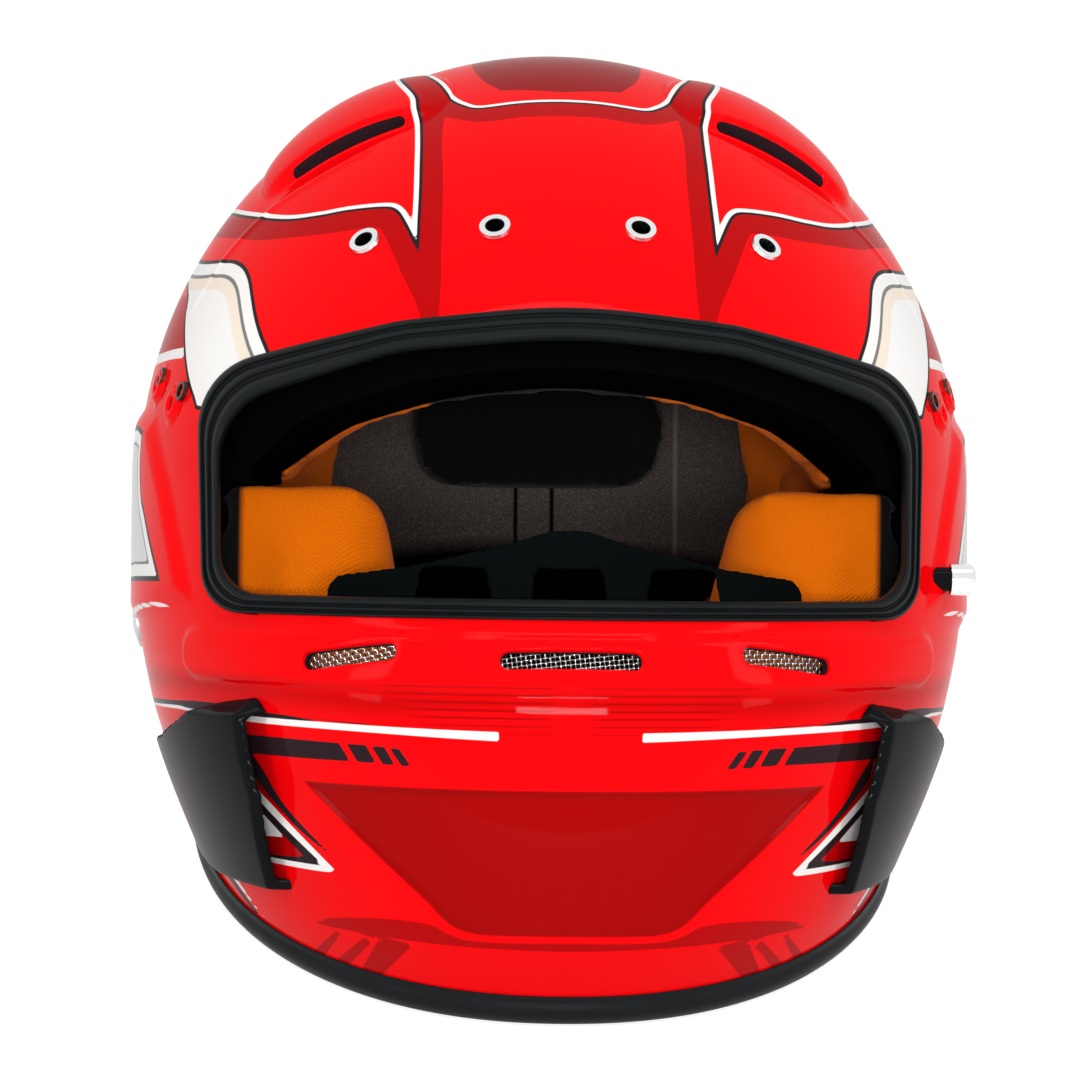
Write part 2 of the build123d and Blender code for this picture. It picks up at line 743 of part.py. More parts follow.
def shield_post_head():
    radius, length = post_head / 2, post_head_length
    outline = [(0, 0), (radius, 0), (radius, length - post_bevel), (radius - post_bevel, length), (0, length)]
    return Plane(origin=(post_collar_reach, post_y, post_z), z_dir=(1, 0, 0)) * turned(outline)


def crown_vent():
    block = Box(crown_vent_width, crown_vent_length, crown_vent_height)
    block = fillet(block.edges().filter_by(Axis.Z), crown_vent_round)
    block = fillet(block.faces().sort_by(Axis.Z)[-1].edges(), crown_vent_round)
    place = top_plane(crown_vent_x, crown_vent_y)
    return place * Pos(0, 0, crown_vent_height / 2 - crown_vent_sink) * block - skin(fit)


parts = {}
parts["outer_shell"] = outer_shell()
parts["eyeport_gasket"] = eyeport_gasket()
parts["lower_trim"] = lower_trim()
parts["eps_crown_liner"] = eps_crown_liner()
parts["eps_chin_liner"] = eps_chin_liner()
for name in vent_slots:
    parts["chin_vent_mesh_" + name] = chin_vent_mesh(name)
parts["cheek_core_left"] = cheek_core()
parts["cheek_core_right"] = mirrored(parts["cheek_core_left"])
parts["cheek_pad_left"] = cheek_pad()
parts["cheek_pad_right"] = mirrored(parts["cheek_pad_left"])
parts["comfort_liner"] = comfort_liner()
parts["crown_pad"] = crown_pad()
parts["nape_pad"] = nape_pad()
parts["neck_roll"] = neck_roll()
parts["cheek_snaps"] = cheek_snaps()
parts["breath_deflector"] = breath_deflector()
parts["side_deflector_left"] = side_deflector()
parts["side_deflector_right"] = mirrored(parts["side_deflector_left"])
parts["brow_eyelets"] = Compound([solid for plane in eyelet_planes for solid in both(plane * eyelet())])
parts["visor_inserts"] = Compound([solid for plane in boss_planes for solid in both(plane * visor_insert())])
parts["shield_post_stem"] = shield_post_stem()
parts["shield_post_head"] = shield_post_head()
parts["restraint_insert_left"] = restraint_place * restraint_insert()
parts["restraint_insert_right"] = mirrored(parts["restraint_insert_left"])
parts["crown_vent_left"] = crown_vent()
parts["crown_vent_right"] = mirrored(parts["crown_vent_left"])
parts["strap_bolt_left"] = strap_bolt()
parts["strap_bolt_right"] = mirrored(parts["strap_bolt_left"])
parts["strap_plate_left"] = strap_plate()
parts["strap_plate_right"] = mirrored(parts["strap_plate_left"])
parts["chin_strap_left"] = ring_strap()
parts["chin_strap_right"] = tail_strap()
parts["d_ring_lower"] = d_ring(lower_ring_x, 0)
parts["d_ring_upper"] = d_ring(upper_ring_x, ring_lift)
parts["tail_snap"] = tail_snap()

os.makedirs("parts", exist_ok=True)
lean = Rot(-rim_slope, 0, 0)
box = Compound([lean * shape for shape in parts.values()]).bounding_box()
stand = Pos(-box.center().X, -box.center().Y, -box.min.Z) * lean
for name, shape in parts.items():
    export_step(stand * shape, "parts/" + name + ".step")


def told(label, plane, bore=0.0):
    """Print a place and its outward direction in the standing frame."""
    point = stand * Pos(*plane.origin)
    way = (lean * Pos(*plane.z_dir)).position
    numbers = [round(v, 5) for v in (*(point.position / 1000), *way, bore / 1000)]
    print(label, numbers)


def twin(plane):
    origin, way = plane.origin, plane.z_dir
    return Plane(origin=(-origin.X, origin.Y, origin.Z), z_dir=(-way.X, way.Y, way.Z))


print("size", box.size)
for side, place in (("left", bolt_place), ("right", twin(bolt_place))):
    told("strap bolt " + side, place)
for x, name in ((lower_ring_x, "lower"), (upper_ring_x, "upper")):
    told("ring " + name, Plane(origin=(x, 0, strap_level), z_dir=(0, 1, 0)))
for i, plane in enumerate(boss_planes):
    mouth = plane.offset(boss_proud)
    told("visor insert left " + str(i), mouth, insert_thread / 2)
    told("visor insert right " + str(i), twin(mouth), insert_thread / 2)
mouth = restraint_place.offset(restraint_flange_height + fit)
told("restraint left", mouth, restraint_thread / 2)
told("restraint right", twin(mouth), restraint_thread / 2)
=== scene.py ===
"""Looks of a full-face auto racing helmet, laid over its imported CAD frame."""

import math
from itertools import product

import bpy
import numpy as np
from bpy.props import FloatProperty, FloatVectorProperty, IntProperty
from mathutils import Matrix, Vector


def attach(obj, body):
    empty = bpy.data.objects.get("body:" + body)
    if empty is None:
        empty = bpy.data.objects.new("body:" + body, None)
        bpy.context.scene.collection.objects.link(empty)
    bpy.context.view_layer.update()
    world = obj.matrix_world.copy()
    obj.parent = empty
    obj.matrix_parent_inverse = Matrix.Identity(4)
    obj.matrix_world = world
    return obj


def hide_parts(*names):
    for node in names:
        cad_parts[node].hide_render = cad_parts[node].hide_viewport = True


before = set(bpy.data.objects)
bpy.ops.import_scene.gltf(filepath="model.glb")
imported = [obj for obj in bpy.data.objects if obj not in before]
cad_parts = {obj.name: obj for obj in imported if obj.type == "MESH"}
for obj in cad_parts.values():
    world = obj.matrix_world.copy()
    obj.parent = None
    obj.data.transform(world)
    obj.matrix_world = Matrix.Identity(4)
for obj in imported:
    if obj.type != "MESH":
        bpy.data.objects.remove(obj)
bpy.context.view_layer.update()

bl_info = {
    "name": "Racing helmet",
    "version": (1, 0, 0),
    "blender": (4, 5, 0),
    "location": "View3D > Sidebar > Helmet",
    "description": "Builds the painted shell, rubber, foam, fabric and fittings of a racing helmet",
    "category": "Object",
}


# Places: the shell is drawn as worn, in millimetres, then tipped on to its foot

SLOPE = math.radians(13.36)
RISE = np.array([0.0, -18.53, -33.9])
TIP = np.array([
    [1.0, 0.0, 0.0],
    [0.0, math.cos(SLOPE), math.sin(SLOPE)],
    [0.0, -math.sin(SLOPE), math.cos(SLOPE)],
])


def rest(points):
    """Worn millimetres to metres in the frame that the helmet stands in."""
    return (np.asarray(points, float) @ TIP.T + RISE) * 0.001


def worn(points):
    """Metres of the standing frame back to worn millimetres."""
    return (np.asarray(points, float) * 1000.0 - RISE) @ TIP


def linear(red, green, blue):
    """Linear colour of an 8-bit screen colour."""
    values = []
    for level in (red, green, blue):
        c = level / 255.0
        values.append(c / 12.92 if c <= 0.04045 else ((c + 0.055) / 1.055) ** 2.4)
    return tuple(values)


def smooth_step(low, high, value):
    t = np.clip((value - low) / (high - low), 0.0, 1.0)
    return t * t * (3.0 - 2.0 * t)


def power(value, exponent):
    """Power of a number's size, with its sign."""
    return np.sign(value) * np.abs(value) ** exponent


def unit(vectors):
    return vectors / np.maximum(np.linalg.norm(vectors, axis=-1, keepdims=True), 1e-12)


# The skin: rings of changing width, front and rear reach and squareness

HALF, FRONT, REAR, RING, CROWN, SET_BACK = 127.5, 172.0, 159.0, 150.0, 134.0, 8.0
SECTION = np.array([
    (-0.100, 0.690, 0.791, 0.528, 2.15),
    (0.053, 0.741, 0.884, 0.579, 2.15),
    (0.187, 0.800, 0.965, 0.616, 2.15),
    (0.400, 0.898, 0.994, 0.704, 2.15),
    (0.573, 0.965, 1.000, 0.799, 2.15),
    (0.747, 0.998, 0.965, 0.881, 2.12),
    (1.000, 1.000, 0.919, 0.931, 2.08),
    (1.313, 1.000, 0.866, 0.975, 2.05),
    (1.672, 1.000, 0.802, 1.000, 2.00),
    (2.000, 1.000, 0.744, 0.975, 2.00),
])


def shares(level):
    """Monotone cubics through the section table, one column each."""
    at, v = SECTION[:, 0], SECTION[:, 1:]
    step = np.diff(at)
    slope = np.diff(v, axis=0) / step[:, None]
    before, after = slope[:-1], slope[1:]
    total = before + after
    inner = np.where(before * after > 0, 2 * before * after / np.where(total == 0, 1, total), 0)
    tangent = np.vstack([slope[:1], inner, slope[-1:]])
    i = np.clip(np.searchsorted(at, level, side="left") - 1, 0, len(step) - 1)
    t = (level - at[i]) / step[i]
    for k in range(v.shape[1]):
        yield ((1 + 2 * t) * (1 - t) ** 2 * v[i, k] + t * (1 - t) ** 2 * step[i] * tangent[i, k]
               + t * t * (3 - 2 * t) * v[i + 1, k] + t * t * (t - 1) * step[i] * tangent[i + 1, k])


def ring(height, grow=0.0):
    """Full half width, front and rear reach, middle, squareness and rise share at a height."""
    height = np.asarray(height, float)
    t = np.clip((height - RING) / (CROWN + grow), 0.0, 1.0)
    level = np.where(height > RING, 1 + np.minimum(1.0, (height - RING) / CROWN), height / RING)
    half, front, rear, square = shares(level)
    return HALF * half + grow, FRONT * front + grow, REAR * rear + grow, SET_BACK * t, square, t


def skin(turn, height, grow=0.0):
    """Point on the grown skin at a turn in degrees from the front and a height."""
    half, front, rear, middle, square, t = ring(height, grow)
    pull = np.sqrt(1 - t * t)
    turn = np.radians(turn)
    s, c = np.sin(turn), np.cos(turn)
    x = half * pull * power(s, 2 / square)
    y = middle - np.where(c > 0, front, rear) * pull * power(c, 2 / square)
    return np.stack([x, y, np.broadcast_to(height, x.shape)], axis=-1)


def field(p):
    """Zero on the plain skin, negative inside."""
    half, front, rear, middle, square, t = ring(p[..., 2])
    y = p[..., 1] - middle
    reach = np.where(y < 0, front, rear)
    flat = np.abs(p[..., 0] / half) ** square + np.abs(y / reach) ** square
    return np.maximum(flat, 1e-9) ** (2 / square) + t * t - 1


def slope_of(p):
    """Gradient of the skin's field."""
    reach, found = 0.25, []
    for axis in np.eye(3) * reach:
        found.append((field(p + axis) - field(p - axis)) / (2 * reach))
    return np.stack(found, axis=-1)


def settle(p):
    """Move points on to the plain skin along its normal."""
    for _ in range(5):
        g = slope_of(p)
        p = p - g * (field(p) / np.maximum((g * g).sum(-1), 1e-12))[..., None]
    return p


def normal(p):
    return unit(slope_of(p))


def turn_of(p):
    """Turn in degrees, from the front, of points on the skin."""
    half, front, rear, middle, square, t = ring(p[..., 2])
    pull = np.sqrt(np.maximum(1 - t * t, 1e-6))
    y = p[..., 1] - middle
    s = power(p[..., 0] / (half * pull), square / 2)
    c = -power(y / (np.where(y < 0, front, rear) * pull), square / 2)
    return np.degrees(np.arctan2(s, c))


def front_point(x, z, grow=0.0):
    """Point on the front of the grown skin straight behind a place in the front view."""
    x, z = np.broadcast_arrays(np.asarray(x, float), np.asarray(z, float))
    half, front, rear, middle, square, t = ring(z, grow)
    pull = np.sqrt(1 - t * t)
    y = middle - front * pull * np.maximum(0, 1 - np.abs(x / (half * pull)) ** square) ** (1 / square)
    return np.stack([x, y, z], axis=-1)


def above_foot(turn, level, grow=0.0):
    """Point on the grown skin at a turn, a level above the surface the helmet stands on."""
    z = np.full(np.shape(turn), 40.0)
    for _ in range(12):
        p = skin(turn, z, grow)
        z = (level - RISE[2] - TIP[2, 1] * p[..., 1]) / TIP[2, 2]
    return skin(turn, z, grow)


def crown_point(x, y):
    """Point on the crown above a place in the top view."""
    x, y = np.broadcast_arrays(np.asarray(x, float), np.asarray(y, float))
    low, high = np.full(x.shape, RING), np.full(x.shape, RING + CROWN)
    for _ in range(40):
        z = (low + high) / 2
        inside = field(np.stack([x, y, z], axis=-1)) < 0
        low, high = np.where(inside, z, low), np.where(inside, high, z)
    return np.stack([x, y, low], axis=-1)


class Seat:
    """A flat frame resting on the skin: u across, v up or back, w outwards."""

    def __init__(self, point, across):
        self.origin = np.asarray(point, float)
        self.w = normal(self.origin)
        across = np.asarray(across, float)
        self.u = unit(across - self.w * (across @ self.w))
        self.v = np.cross(self.w, self.u)

    def local(self, p):
        q = p - self.origin
        return q @ self.u, q @ self.v, q @ self.w

    def place(self, u, v):
        return self.origin + u[:, None] * self.u + v[:, None] * self.v

    def mirrored(self):
        other = Seat.__new__(Seat)
        flip = np.array([-1.0, 1.0, 1.0])
        other.origin, other.u, other.v, other.w = (a * flip for a in (self.origin, self.u, self.v, self.w))
        return other


SCOOP = Seat(crown_point(63.0, -58.0), (1, 0, 0))
BOSSES = [Seat(settle(np.array([127.0, y, z])), (0, 1, 0)) for y, z in ((-50.0, 179.0), (-74.0, 174.0))]
VENT_LEVEL = 99.9
VENTS = {
    name: (Seat(front_point(x, VENT_LEVEL), (1, 0, 0)), half)
    for name, x, half in (("left", 59.5, 12.6), ("center", 0.0, 16.75), ("right", -59.5, 12.6))
}
VENT_RADIUS, VENT_DEPTH = 2.5, 3.4
SLOT_HALF, SLOT_RADIUS, SLOT_DEPTH = 17.2, 1.9, 7.0
HOLE_RADIUS, HOLE_DEPTH = 2.2, 5.0
SEAT_REACH = 14.0
EYELETS = [Seat(front_point(x, z), (1, 0, 0)) for x, z in ((57.0, 216.0), (20.4, 219.4))]


def stadium(u, v, half, radius):
    """Distance outside a round-ended slot."""
    return np.hypot(np.maximum(np.abs(u) - half, 0), v) - radius


def openings():
    """Every slot and hole in the shell: its seat, straight half length, end radius and depth."""
    for seat in (SCOOP, SCOOP.mirrored()):
        yield seat, SLOT_HALF, SLOT_RADIUS, SLOT_DEPTH
    for seat, half in VENTS.values():
        yield seat, half, VENT_RADIUS, VENT_DEPTH
    for boss in BOSSES:
        for seat in (boss, boss.mirrored()):
            yield seat, 0.0, HOLE_RADIUS, HOLE_DEPTH


# Outlines: drawn on the left by turn and height, the crown's in plan, and mirrored on to the right

def flowing(points):
    """Points along a smooth curve through a few; two alone are a straight line."""
    steps = 8
    p = np.array(points, float)
    if len(p) < 3:
        return p
    ends = np.vstack([2 * p[0] - p[1], p, 2 * p[-1] - p[-2]])
    made = []
    for i in range(1, len(ends) - 2):
        a, b, c, d = ends[i - 1:i + 3]
        for t in np.arange(steps) / steps:
            made.append(0.5 * (2 * b + (c - a) * t + (2 * a - 5 * b + 4 * c - d) * t * t
                               + (3 * b - a - 3 * c + d) * t ** 3))
    return np.vstack([made, p[-1:]])


def drawn(runs):
    """A closed line from runs that are each smooth, start where the last one ended and meet in corners."""
    line, corner = [], []
    for run in runs:
        line.append(flowing(corner + run))
        corner = run[-1:]
    return np.vstack(line + [line[0][:1]])


def lifted(line, plan=False):
    """The line on the skin, cut into pieces of about 3 mm."""
    piece, per_degree, per_height = 3.0, 2.3, 1.3
    scale = np.array([1.0, 1.0] if plan else [per_degree, per_height]) / piece
    made = []
    for a, b in zip(line[:-1], line[1:]):
        count = max(1, int(np.linalg.norm((b - a) * scale)))
        made.append(a + (b - a) * (np.arange(count) / count)[:, None])
    made = np.vstack(made + [line[-1:]])
    return crown_point(made[:, 0], made[:, 1]) if plan else skin(made[:, 0], made[:, 1])


def line_distance(p, path):
    """Least distance from points to a path in space."""
    best = np.full(len(p), 1e9)
    for a, b in zip(path[:-1], path[1:]):
        d = b - a
        size = d @ d
        if size < 1e-9:
            continue
        q = p - a
        t = np.clip(q @ d / size, 0.0, 1.0)
        q = q - t[:, None] * d
        np.minimum(best, (q * q).sum(1), out=best)
    return np.sqrt(best)


def within(at, line):
    """Whether places lie inside a closed line."""
    inside = np.zeros(len(at), bool)
    for (ax, az), (bx, bz) in zip(line[:-1], line[1:]):
        if az == bz:
            continue
        hit = (az > at[:, 1]) != (bz > at[:, 1])
        inside ^= hit & (at[:, 0] < (bx - ax) * (at[:, 1] - az) / (bz - az) + ax)
    return inside


def folded(p):
    """Points with those of the right half mirrored on to the left."""
    return np.stack([np.abs(p[:, 0]), p[:, 1], p[:, 2]], axis=-1)


class Canvas:
    """Points of the shell, folded on to the left half, that outlines are measured on."""

    far = 14.0

    def __init__(self, p):
        self.p = folded(p)
        self.wrap = np.stack([np.abs(turn_of(self.p)), self.p[:, 2]], axis=-1)

    def distance(self, path):
        """Distance from a path in space, up to far."""
        low, high = path.min(0) - self.far, path.max(0) + self.far
        near = ((self.p > low) & (self.p < high)).all(1)
        found = np.full(len(self.p), self.far)
        found[near] = np.minimum(line_distance(self.p[near], path), self.far)
        return found

    def depth(self, runs, plan=False):
        """Distance inside a closed outline, negative outside; one in plan ends at the ring."""
        line = drawn(runs)
        found = self.distance(lifted(line, plan))
        found = np.where(within(self.p[:, :2] if plan else self.wrap, line), found, -found)
        return np.minimum(found, self.p[:, 2] - RING) if plan else found

    def gap(self, run):
        """Distance from an open line."""
        return self.distance(lifted(flowing(run)))


SWOOP = [
    [(140, 268), (100, 276), (72, 275), (55.1, 270.4), (37.9, 262.6), (32.3, 256.9), (27.7, 247.2),
    (24.3, 233.8), (22.2, 219.7), (21.4, 211.5)], [(22.6, 215), (25.5, 221.9), (27.7, 225.5), (30.3, 226.3),
    (36.4, 225.8), (42.9, 224.6), (50.5, 224.5), (64.3, 227.6), (80, 231), (100, 232), (125, 222),
    (150, 196)], [(152, 220), (149, 246), (140, 268)],
]
CROWN_EDGE = [
    [(-16, -68), (0, -68.1), (11, -68), (21, -67.8), (26, -66.5), (29.5, -63), (33, -57), (36.5, -46),
    (39.5, -36.4), (43, -18), (45, 10), (43, 50), (37, 90), (27, 118), (12, 140)], [(0, 128), (-16, 110)],
]
CROWN_SHADE = [
    [(-16, -61), (0, -60.9), (18, -57)], [(23.5, -44), (26, -20), (24, 20), (16, 60)], [(-16, 60)],
]
DEEP = [
    [(19, 180), (19.5, 193.6), (23.7, 207.2), (27.2, 216.5), (29.1, 220.3)], [(32.5, 220.2), (41.1, 219.1),
    (53.9, 219.1), (64.8, 221.4), (80, 223.5), (100, 223), (125, 212), (150, 184), (165, 168), (200, 160)],
    [(200, 284)], [(-20, 284)], [(-20, 180)],
]
BRIGHT = [
    [(-14, 256.2), (0, 256.2), (8.2, 255.8), (15.2, 254.4), (20.2, 254.6), (26.5, 256.6)], [(20.8, 234.9),
    (17.6, 207), (16.8, 190)], [(-14, 190)],
]
SIDE_TOP = [
    (150, 236), (120, 229), (95, 221), (74.5, 215.9), (62.9, 214.3), (58.3, 213.5), (54.5, 211.3),
    (51.5, 207.4), (49.1, 202), (46.6, 195.3), (44.6, 190.2), (42.6, 185.5), (39.6, 178),
]
SIDE_PANEL = [
    SIDE_TOP, [(50, 168), (56.3, 168.5)], [(57.5, 171.5), (59.5, 175.6), (62.6, 182.8), (65.3, 189.1),
    (68.8, 196.5), (73.1, 204.2), (84, 210), (105, 208), (128, 196), (156, 172)], [(158, 205), (150, 236)],
]
SIDE_STRIPE = [
    [(64.6, 187.6), (73.1, 187.3), (100, 185.5), (150, 171)], [(150, 170)], [(100, 182.2), (72.7, 184.3),
    (63.4, 184.4)],
]
SIDE_SHADE = [
    [(67.6, 194.5), (64.8, 187.6)], [(73.1, 187.3), (100, 185.5), (126, 180)], [(108, 192), (92, 201),
    (76, 205), (70.6, 200), (67.6, 194.5)],
]
LOWER_PANEL = [
    [(73, 163), (72.6, 152), (71.5, 143.7), (69.6, 138.9), (66.1, 129), (62.3, 118.6)], [(74.8, 118.2),
    (100, 117.5), (148, 128)], [(118, 152), (96, 161), (80, 165), (73, 163)],
]
THIN_LINE = [
    [(56, 110.8), (59.6, 112.1), (62.9, 112.5), (73.2, 111.3), (100, 104), (128, 92)], [(128, 91)],
    [(100, 102.3), (73.2, 109.9), (62.9, 111.2), (59.6, 111.2), (56, 110.8)],
]
STRIPE = [
    [(90, 80.4), (65.8, 82.8), (58.4, 82.9), (44.2, 82.4), (35.9, 82.1), (21.5, 81.4), (7.9, 80.8)],
    [(7.9, 78.4)], [(26, 79.8), (44.4, 80.6), (58.5, 81.6), (66, 81.7), (90, 80)],
]
STRIPE_INK = [
    [(92, 82), (66.4, 84), (54.5, 85), (44.2, 84.3), (42.3, 83.7), (34.5, 82.9), (21.6, 81.7)], [(35.9, 82),
    (44.2, 82.2), (58.4, 82.5), (65.8, 82.7), (92, 80)],
]
BAR = [
    [(64, 76.4), (43.7, 76.9), (29.3, 76.4)], [(28, 71.6)], [(44.3, 71.7), (64, 72)],
]
SLANTS = [
    [[(28.1, 76.3), (25.3, 76.2)], [(24.2, 71.4)], [(26.9, 71.6)]],
    [[(24.5, 76), (22.7, 75.9)], [(21.5, 71.1)], [(23.2, 71.2)]],
    [[(22, 75.6), (20.7, 75.6)], [(19.3, 70.9)], [(20.6, 71.1)]],
]
BLADE = [
    [(46, 73), (43.9, 67.6), (42.4, 61.6), (40.9, 57.5), (38.7, 53), (36.2, 48.6), (33.8, 44.7)],
    [(36.7, 48), (39.7, 52.1), (41.6, 55.4), (44.4, 61.2), (46.5, 66)],
]
BLADE_RED = [
    [(46.5, 66), (44.2, 61), (41.6, 55.6), (39.7, 52.3), (36.7, 48.1), (33.8, 44.4)], [(37.7, 49),
    (41.7, 55), (45.3, 60.4), (48, 65)],
]
TRIANGLE = [
    [(49.5, 67), (44.3, 58.4), (33.8, 40.4)], [(37.6, 40.3), (46.1, 40.7), (56, 41)], [(56, 67)],
]
TRIANGLE_INK = [
    [(49.8, 64.4), (44.2, 54.6), (36.1, 41.9)], [(45.6, 42.2), (56, 42.6)], [(56, 64.4)],
]
TRIANGLE_RED = [
    [(48.8, 58.6), (44.8, 52), (39.6, 43.7)], [(46.1, 43.2), (56, 43.2)], [(56, 58.6)],
]
TRIANGLE_WHITE = [
    [(48.8, 58.6), (44.8, 52), (42.9, 48.7)], [(56, 47.8)], [(56, 58.6)],
]
FIN_LINE = [
    [(76, 50), (64.7, 34.6), (55.2, 22.3)], [(62.7, 34.6), (73.4, 50)],
]
FIN_INK = [
    [(80, 50), (67.2, 34), (59.8, 25), (56, 22.2)], [(64.7, 34.4), (76, 50)],
]
LENS = [
    [(41.3, 25), (38, 26.9), (31.4, 28.3), (23.9, 28.7), (19.1, 27.8), (16.6, 25.6), (11.8, 24.2),
    (-8, 24)], [(-8, 21.4)], [(11.9, 22.2), (24.5, 23.2), (32.1, 24), (38.4, 24.6), (41.3, 25)],
]
BLOCKS = [
    [[(37.5, 22.8), (36, 22.8)], [(41.4, 14.8)], [(44.5, 14.9)]],
    [[(31.6, 22.5), (29.6, 22.3)], [(36.3, 13.2)], [(39.1, 13.8)]],
    [[(28.9, 22.1), (22.8, 21.9)], [(29.7, 11.5)], [(33.5, 12.6)]],
]
PANEL = [
    [(-8, 65.2), (36.4, 65.2)], [(27.7, 48.9), (19.4, 34.2)], [(17.4, 30), (15.2, 27.2), (12, 25.9)],
    [(-8, 25.9)],
]
STREAKS = [
    [(21.5, 92.6), (2, 93)], [(2, 79.8)], [(15.5, 80.6)],
]
CHIN_SHADE = [
    [(84, 94.5), (57.4, 95.4), (33.9, 94.4), (15.9, 93.6), (-8, 93.4)], [(-8, 84)], [(12, 83), (24, 81.8),
    (43.3, 84.4), (84, 85)],
]
CREASE = [
    (40, 246), (53.4, 232.5), (57.8, 226), (62.9, 213.9), (66.5, 200),
]
POD = [
    [(70, 168), (66.3, 159.9), (62.4, 148.7), (59.5, 137.1), (56.3, 123), (54, 113)], [(75, 106),
    (110, 104), (135, 118)], [(128, 146), (104, 166), (84, 172), (70, 168)],
]


def relief(p):
    """How far the shell stands out of its plain skin at points of that skin."""
    band_level, band_half, band_tall, band_corner, band_proud = 99.0, 107.0, 7.0, 6.0, 1.5
    hump_half, hump_length, hump_back, hump_proud = 33.0, 32.0, 17.0, 5.4
    panel_sunk, boss_proud, pod_proud, crease_proud, crease_width = 0.8, 1.4, 2.2, 0.45, 1.6
    canvas = Canvas(p)
    ahead = p[:, 1] < 0
    across = np.maximum(canvas.p[:, 0] - band_half + band_corner, 0)
    up = np.maximum(np.abs(p[:, 2] - band_level) - band_tall + band_corner, 0)
    h = band_proud * (1 - smooth_step(-0.8, 1.2, np.hypot(across, up) - band_corner)) * ahead
    h -= panel_sunk * smooth_step(-0.2, 1.6, canvas.depth(PANEL)) * ahead
    u, v, w = SCOOP.local(canvas.p)
    dome = 1 - (u / hump_half) ** 2 - ((v - hump_back) / hump_length) ** 2
    hump = hump_proud * np.sqrt(np.maximum(dome, 0)) * smooth_step(-3.4, 2.6, v)
    h += np.where((np.abs(w) < 30) & (p[:, 2] > RING), hump, 0)
    for boss in BOSSES:
        u, v, w = boss.local(canvas.p)
        h += boss_proud * (1 - smooth_step(4.3, 5.8, np.hypot(u, v))) * (np.abs(w) < 12)
    h += pod_proud * smooth_step(0.0, 7.0, canvas.depth(POD))
    h += crease_proud * np.exp(-(canvas.gap(CREASE) / crease_width) ** 2)
    return h


LAYERS = {
    "deep": [DEEP], "bright": [BRIGHT], "swoop": [SWOOP], "side": [SIDE_PANEL], "side_shade": [SIDE_SHADE],
    "lower": [LOWER_PANEL], "shade": [BLADE_RED, LENS, *BLOCKS], "panel": [PANEL], "streaks": [STREAKS],
    "chin_shade": [CHIN_SHADE], "white": [STRIPE, TRIANGLE, FIN_LINE, SIDE_STRIPE, THIN_LINE],
    "ink": [STRIPE_INK, BAR, *SLANTS, BLADE, TRIANGLE_INK, FIN_INK], "top_red": [TRIANGLE_RED],
    "top_white": [TRIANGLE_WHITE],
}


def paint(p):
    """Depths inside every painted outline, at points of the plain skin."""
    canvas = Canvas(p)
    found = {}
    for name, outlines in LAYERS.items():
        found[name] = np.max([canvas.depth(runs) for runs in outlines], axis=0)
    found["bright"] = np.where(p[:, 1] < 20, found["bright"], -canvas.far)
    found["crown"] = canvas.depth(CROWN_EDGE, plan=True)
    found["crown_shade"] = canvas.depth(CROWN_SHADE, plan=True)
    found["side_top"] = canvas.gap(SIDE_TOP)
    return found


# Meshes

def grid_faces(rows, columns):
    """Faces of a net of rows and columns, closed round its columns."""
    i, j = np.meshgrid(np.arange(rows - 1), np.arange(columns), indexing="ij")
    low, j = i.ravel() * columns, j.ravel()
    high, k = low + columns, (j + 1) % columns
    return np.stack([low + j, low + k, high + k, high + j], axis=-1)


def solid_of(name, node, points, faces, material, body="root", values=None):
    """An object from worn millimetres in a node's place, with numbers stored on its points."""
    mesh = bpy.data.meshes.new(name)
    used = np.unique(faces)
    index = np.full(len(points), -1)
    index[used] = np.arange(len(used))
    faces = index[faces]
    mesh.vertices.add(len(used))
    mesh.vertices.foreach_set("co", rest(points[used]).astype(np.float32).ravel())
    size = faces.shape[1]
    mesh.loops.add(faces.size)
    mesh.loops.foreach_set("vertex_index", faces.astype(np.int32).ravel())
    mesh.polygons.add(len(faces))
    mesh.polygons.foreach_set("loop_start", np.arange(0, faces.size, size, dtype=np.int32))
    mesh.update(calc_edges=True)
    mesh.validate()
    for key, numbers in (values or {}).items():
        layer = mesh.attributes.new(key, "FLOAT", "POINT")
        layer.data.foreach_set("value", np.asarray(numbers, np.float32)[used])
    cover(mesh, material)
    made = bpy.data.objects.new(name, mesh)
    bpy.context.collection.objects.link(made)
    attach(made, body)
    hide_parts(node)
    return made


def cover(mesh, material):
    """Smooth shading and one material all over."""
    mesh.polygons.foreach_set("use_smooth", np.full(len(mesh.polygons), True))
    mesh.materials.clear()
    mesh.materials.append(material)


def refine(piece):
    """One level of subdivision."""
    finer = piece.modifiers.new("Finer", "SUBSURF")
    finer.levels = finer.render_levels = 1


def spread(low, high, pitch):
    """Places from low to high whose spacing follows a pitch, both ends kept."""
    made = [low]
    while made[-1] < high:
        made.append(made[-1] + float(pitch(made[-1])))
    made = np.array(made)
    return low + (made - low) * (high - low) / (made[-1] - low)


def joined(parts):
    """Points, faces and stored numbers of several nets as one."""
    points, faces, values, count = [], [], [], 0
    for p, f, v in parts:
        points.append(p)
        faces.append(f + count)
        values.append(v)
        count += len(p)
    values = {key: np.concatenate([v[key] for v in values]) for key in values[0]}
    return np.vstack(points), np.vstack(faces), values


def heading(path, closed=False):
    """Direction of a path at each of its points."""
    return unit(np.roll(path, -1, 0) - np.roll(path, 1, 0) if closed else np.gradient(path, axis=0))


def tube(path, section, closed=False, up=(0.0, 0.0, 1.0)):
    """A net that carries a closed section of (side, up) offsets along a path."""
    ahead = heading(path, closed)
    side = unit(np.cross(ahead, np.broadcast_to(up, path.shape)))
    top = np.cross(side, ahead)
    points = np.stack([path + side * a + top * b for a, b in section], axis=1).reshape(-1, 3)
    return points, grid_faces(len(path) + closed, len(section)) % len(points), {}


